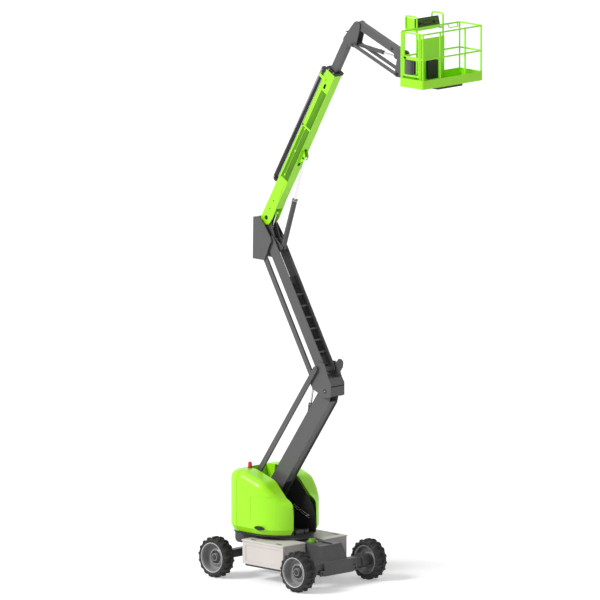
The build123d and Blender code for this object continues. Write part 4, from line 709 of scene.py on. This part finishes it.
# Cable track: moulded links in two bands joined by a round loop, in a steel trough on the boom's back.
# The outer band is pale grey, and the links' joints show as a row of grooves along it.
TRACK_GREY = finish("track_grey_plastic", (0.33, 0.33, 0.335), 0.5, vary=0.06,
                    grain=(500, 0.05))
LINK_DARK = finish("track_link_plastic", (0.030, 0.030, 0.032), 0.5, vary=0.15,
                   grain=(500, 0.05))
TRACK_LEN, TRACK_GAP = 2.810, 0.080
TRACK_START = BOOM_LEN - TRACK_GAP - TRACK_LEN
LINK_JOINTS, JOINT_Y, BAND_DEPTH = 44, 0.0485, 0.030
coat_nodes(TRACK_GREY, "cable_track")
track = node["cable_track"].data
track.materials.append(LINK_DARK)
off_boom = boom.inverted()
track_high = max((off_boom @ v.co).z for v in track.vertices)
for face in track.polygons:
    face.material_index = 0 if (off_boom @ face.center).z > track_high - BAND_DEPTH else 1
joints = bmesh.new()
for i in range(LINK_JOINTS):
    x = TRACK_START + 0.10 + (TRACK_LEN - 0.18) * i / (LINK_JOINTS - 1)
    for side in (-1, 1):
        add_block(joints, (x - 0.003, side * JOINT_Y - 0.0012, track_high - 0.040),
                  (x + 0.003, side * JOINT_Y + 0.0012, track_high - 0.004), boom, 0.0004)
fit_piece("cable_track_joints", joints, ARM_GREY, "boom")

# Fly boom: the inner box that slides out of the main boom, of welded plate in satin grey paint.
# Its end pin carries the jib bracket.
coat_nodes(ARM_GREY, "fly_boom")

# Jib bracket: two grey plates that join the fly boom's end to the jib and its links, on pins with turned
# heads. Two black rubber guides across its back keep the hoses together.
GUIDES_OVER_PIN, GUIDE_HALF_W, GUIDE_H = (0.06, 0.17), 0.064, 0.016
coat_nodes(ARM_GREY, "jib_bracket")
fly_pin, jib_foot = pivot["bracket_level"], pivot["jib_lift"]
pins = bmesh.new()
for at, radius in ((fly_pin, 0.036), (jib_foot, 0.034), (pivot["jib_links_swing"], 0.030)):
    add_pin_heads(pins, "jib_bracket", at, radius)
fit_piece("jib_bracket_pins", pins, PIN_PAINT, "jib_bracket")
guides = bmesh.new()
for over_pin in GUIDES_OVER_PIN:
    z = fly_pin.z + over_pin
    add_block(guides, (fly_pin.x - 0.03, -GUIDE_HALF_W, z), (fly_pin.x + 0.02, GUIDE_HALF_W, z + GUIDE_H),
              round_off=0.006)
fit_piece("bracket_hose_guides", guides, SEAL_RUBBER, "jib_bracket")

# Jib: a welded box with a slotted underside, and a pair of flat links below it that keep the basket level.
# Two hoses run along its left flank under clips, and a rubber plug closes the hole near its far end.
CLIPS_AT = (0.42, 0.68, 0.94)
JIB_HOSE_Y = 0.0675
HOLE_PLUG = [(0, -0.004), (0.026, -0.004), (0.028, 0.0), (0.022, 0.002), (0, 0.002)]
coat_nodes(ARM_GREY, "jib_arm", "jib_links")
jib_top = pivot["platform_level"]
jib = arm_place(jib_foot, jib_top)
clips = bmesh.new()
for x in CLIPS_AT:
    add_block(clips, (x - 0.010, 0.0598, -0.020), (x + 0.010, 0.0760, 0.020), jib, 0.004)
fit_piece("jib_hose_clips", clips, PIN_PAINT, "jib_arm")
for i in range(2):
    z = 0.016 * i - 0.008
    run_hose(f"jib_hose_{i + 1}", jib, [(x, JIB_HOSE_Y, z) for x in (0.34, *CLIPS_AT, 1.02)], 0.0070,
             HOSE_BLACK, "jib_arm")
fit_turned("jib_hole_plug", HOLE_PLUG, seat((1.02, -0.0600, -0.004), (0, -1, 0), place=jib), 28, SEAL_RUBBER,
           "jib_arm")

# Rotator: a cast housing between the platform bracket and the basket's mount, in the same grey as the jib.
# It turns the basket. Two of its cap screws show in front of the bracket.
ROTATOR_SCREW_R = 0.095
coat_nodes(ARM_GREY, "platform_bracket", "basket_mount")
pins = bmesh.new()
for at, radius in ((jib_top, 0.034), (jib_top + pivot["jib_links_swing"] - jib_foot, 0.030)):
    add_pin_heads(pins, "platform_bracket", at, radius)
fit_piece("platform_bracket_pins", pins, PIN_PAINT, "platform_bracket")
rotator, mount_top = pivot["platform_rotate"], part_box("basket_mount")[1].z
screws = bmesh.new()
for degrees in (22.5, -22.5):
    x, y = on_circle(ROTATOR_SCREW_R, degrees)
    add_bolt(screws, (rotator.x + x, y, mount_top), (0, 0, 1), 0.008, 0.009)
fit_piece("rotator_screws", screws, PIN_STEEL, "platform")

# Basket: round-tube guard rails, folded toe boards and a back panel, welded and painted in the boom's green.
# The floor is ribbed tread plate on a dark skid frame, and the gate hangs in sleeves on the right end.
TREAD_PLATE = finish("tread_plate_floor", (0.115, 0.115, 0.115), 0.45,
                     worn=(0.45, 0.45, 0.45))
GREEN_FLOOR = finish("basket_green_paint", LIME, 0.36, vary=0.05, coat=0.2, worn=LIME_WORN,
                     grain=(300, 0.02))
TREAD_TOP, SKID_H = 10.552, 0.049
RIB_PITCH, RIB_SIZE = 0.056, (0.034, 0.007, 0.0022)
coat_nodes(GREEN_PAINT, "basket_rails", "basket_gate", "basket_panel")
coat_nodes(GREEN_FLOOR, "basket_floor")
floor_mesh = node["basket_floor"].data
floor_mesh.materials.append(DARK_FRAME)
floor_low, floor_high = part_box("basket_floor")
floor_size = floor_high - floor_low
for face in floor_mesh.polygons:
    face.material_index = 1 if face.center.z < floor_low.z + SKID_H else 0
tread = bmesh.new()
bmesh.ops.create_grid(tread, x_segments=1, y_segments=1, size=0.5, matrix=Matrix.Translation(
    ((floor_low.x + floor_high.x) / 2, 0, TREAD_TOP + 0.0008))
    @ Matrix.Diagonal((floor_size.x - 0.012, floor_size.y - 0.012, 1, 1)))
bmesh.ops.solidify(tread, geom=tread.faces[:], thickness=-0.0012)
fit_piece("tread_plate", tread, TREAD_PLATE, "platform")
ribs = bmesh.new()
for row in range(int((floor_size.y - 0.10) / RIB_PITCH)):
    for column in range(int((floor_size.x - 0.08) / RIB_PITCH)):
        lean = math.pi / 4 if (row + column) % 2 else -math.pi / 4
        at = (floor_low.x + 0.055 + column * RIB_PITCH, floor_low.y + 0.07 + row * RIB_PITCH,
              TREAD_TOP + 0.0020)
        bmesh.ops.create_cube(ribs, size=1.0, matrix=Matrix.Translation(at) @ Matrix.Rotation(lean, 4, "Z")
                              @ Matrix.Diagonal((*RIB_SIZE, 1)))
fit_piece("tread_plate_ribs", ribs, TREAD_PLATE, "platform")

# Gate hardware: a spring latch on the gate's thick middle rail, with a turned knob to pull.
# Both are black moulded plastic, screwed on from the inside.
LATCH_HEIGHT = 11.147
LATCH_KNOB = [(0, 0), (0.008, 0), (0.008, 0.006), (0.015, 0.010), (0.017, 0.018), (0.012, 0.026), (0, 0.028)]
gate_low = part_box("basket_gate")[0]
latch = bmesh.new()
add_block(latch, (gate_low.x + 0.030, gate_low.y - 0.006, LATCH_HEIGHT - 0.020),
          (gate_low.x + 0.090, gate_low.y + 0.010, LATCH_HEIGHT + 0.020), round_off=0.004)
turn_profile(latch, LATCH_KNOB, seat((gate_low.x + 0.060, gate_low.y - 0.006, LATCH_HEIGHT), (0, -1, 0)), 24)
fit_piece("gate_latch", latch, GRIP_BLACK, "gate")

# Manual case and console: the case is dark moulded plastic, and the console a folded green box whose face is
# painted shade, a deep olive green. On it are two joysticks with rubber boots, a red stop, and two rows of
# toggles inside a raised black border.
# Painted shade: the deep olive of the console face stands in for the shade that falls on it.
CONSOLE_PAINTED_SHADE = finish("console_panel_painted_shade", (0.055, 0.115, 0.006), 0.45,
                     worn=(0.14, 0.2, 0.06))
FACE_OUT = -0.0055
JOYSTICK = [(0, 0), (0.034, 0), (0.034, 0.005), (0.026, 0.010), (0.029, 0.015), (0.020, 0.021), (0.022, 0.026),
            (0.013, 0.033), (0.008, 0.036), (0.008, 0.085), (0.014, 0.092), (0.016, 0.110), (0.012, 0.122),
            (0, 0.125)]
TOGGLE = [(0, 0), (0.009, 0), (0.009, 0.003), (0.0035, 0.004), (0.0030, 0.020), (0.0045, 0.023), (0, 0.025)]
STOP_BUTTON = [(0, 0), (0.010, 0), (0.010, 0.010), (0.020, 0.012), (0.021, 0.020), (0.015, 0.026), (0, 0.027)]
coat_nodes(GRIP_BLACK, "manual_case")
coat_nodes(GREEN_PAINT, "console")
console_low, console_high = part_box("console")
desk_foot = Vector((console_high.x, 0, console_low.z + 0.065))
desk_head = Vector((console_high.x - 0.050, 0, console_high.z))
desk = arm_place(desk_foot, desk_head)
desk_len = (desk_head - desk_foot).length
right, left = console_low.y, console_high.y


def on_desk(x, y):
    """A seat on the console's face, looking out of it."""
    return seat((x, y, FACE_OUT), (0, 0, -1), place=desk)


# The face plate carries the painted shade of the console's face.
fit_block("console_painted_shade_face", (0.006, right + 0.006, -0.0030), (desk_len - 0.006, left - 0.006, 0.0005),
          CONSOLE_PAINTED_SHADE, "platform", desk, 0.001)
panel = bmesh.new()
for low, high in (((0.004, right + 0.004), (desk_len - 0.004, right + 0.024)),
                  ((0.004, left - 0.024), (desk_len - 0.004, left - 0.004)),
                  ((desk_len - 0.022, right + 0.004), (desk_len - 0.004, left - 0.004))):
    add_block(panel, (*low, -0.0065), (*high, -0.0005), desk, 0.002)
for y in (-0.20, 0.20):
    turn_profile(panel, JOYSTICK, on_desk(0.085, y), 28)
for i in range(7):
    for x in (0.055, 0.125):
        turn_profile(panel, TOGGLE, on_desk(x, -0.105 + 0.035 * i), 12)
fit_piece("console_controls", panel, GRIP_BLACK, "platform")
fit_turned("platform_stop_button", STOP_BUTTON, on_desk(0.150, -0.275), 28, RED_PLASTIC, "platform")
fit_block("console_end_plate", (console_low.x - 0.055, right - 0.006, console_low.z + 0.030),
          (console_high.x - 0.010, right - 0.001, console_high.z + 0.015), GREEN_PAINT, "platform",
          round_off=0.002)
screws = bmesh.new()
for y in (right + 0.02, left - 0.02):
    for x in (0.02, desk_len - 0.02):
        add_bolt(screws, (x, y, FACE_OUT), (0, 0, -1), 0.004, 0.003, desk)
fit_piece("console_screws", screws, PIN_STEEL, "platform")
pedal = bmesh.new()
add_block(pedal, (3.905, 0.30, TREAD_TOP + 0.002), (4.065, 0.44, TREAD_TOP + 0.020), round_off=0.005)
tilt = Matrix.Translation((3.92, 0.37, TREAD_TOP + 0.020)) @ Matrix.Rotation(math.radians(-9), 4, "Y")
add_block(pedal, (0.0, -0.052, 0.004), (0.130, 0.052, 0.014), tilt, 0.003)
fit_piece("foot_pedal", pedal, GRIP_BLACK, "platform")

# Floor, light and camera: a flat pale floor, one broad key from the machine's right and an even sky.
# The camera stands far off with a long lens, so that upright lines stay upright.
FLOOR_SIZE, FLOOR_GLOW, SKY_STRENGTH = 400, 0.36, 0.42
KEY_STRENGTH, KEY_SPREAD, KEY_AIM = 2.45, 22, (0.28, 0.72, -0.62)
VIEW_TARGET, VIEW_LINE, VIEW_DISTANCE = (0.209, 0, 5.685), (0.69636, -0.69636, 0.17365), 500


def seen_directly(tree):
    """One for the rays that should meet the plain white background: in the lens, in metal and in glass."""
    ray = tree.nodes.new("ShaderNodeLightPath")
    total = ray.outputs["Is Camera Ray"]
    for kind in ("Is Glossy Ray", "Is Transmission Ray"):
        total = combined(tree, "MAXIMUM", total, ray.outputs[kind])
    return total


FLOOR_PALE = bpy.data.materials.new("pale_floor")
FLOOR_PALE.use_nodes = True
floor_tree = FLOOR_PALE.node_tree
floor_shader = floor_tree.nodes["Principled BSDF"]
floor_shader.inputs["Base Color"].default_value = (0.86, 0.86, 0.86, 1)
floor_shader.inputs["Roughness"].default_value = 0.9
floor_shader.inputs["Emission Color"].default_value = (1, 1, 1, 1)
floor_tree.links.new(mapped(floor_tree, seen_directly(floor_tree), 0, 1, 0, FLOOR_GLOW),
                     floor_shader.inputs["Emission Strength"])
ground = bmesh.new()
bmesh.ops.create_grid(ground, x_segments=2, y_segments=2, size=FLOOR_SIZE)
ground_data = bpy.data.meshes.new("floor")
ground.to_mesh(ground_data)
ground.free()
ground_data.materials.append(FLOOR_PALE)
floor = bpy.data.objects.new("floor", ground_data)
bpy.context.scene.collection.objects.link(floor)

sky = bpy.data.worlds.new("even_sky")
sky.use_nodes = True
background = sky.node_tree.nodes["Background"]
background.inputs["Color"].default_value = (1, 1, 1, 1)
sky.node_tree.links.new(mapped(sky.node_tree, seen_directly(sky.node_tree), 0, 1, SKY_STRENGTH, 1.0),
                        background.inputs["Strength"])
bpy.context.scene.world = sky
key = bpy.data.lights.new("key", "SUN")
key.energy = KEY_STRENGTH
key.angle = math.radians(KEY_SPREAD)
stand = bpy.data.objects.new("key", key)
stand.rotation_euler = Vector(KEY_AIM).to_track_quat("-Z", "Y").to_euler()
bpy.context.scene.collection.objects.link(stand)

lens = bpy.data.cameras.new("camera")
lens.lens = 1500
lens.sensor_width = 36
lens.clip_start = 10
lens.clip_end = 2000
camera = bpy.data.objects.new("camera", lens)
camera.location = Vector(VIEW_TARGET) + Vector(VIEW_LINE) * VIEW_DISTANCE
camera.rotation_euler = (-Vector(VIEW_LINE)).to_track_quat("-Z", "Y").to_euler()
bpy.context.scene.collection.objects.link(camera)
bpy.context.scene.camera = camera
bpy.context.scene.view_settings.view_transform = "Standard"
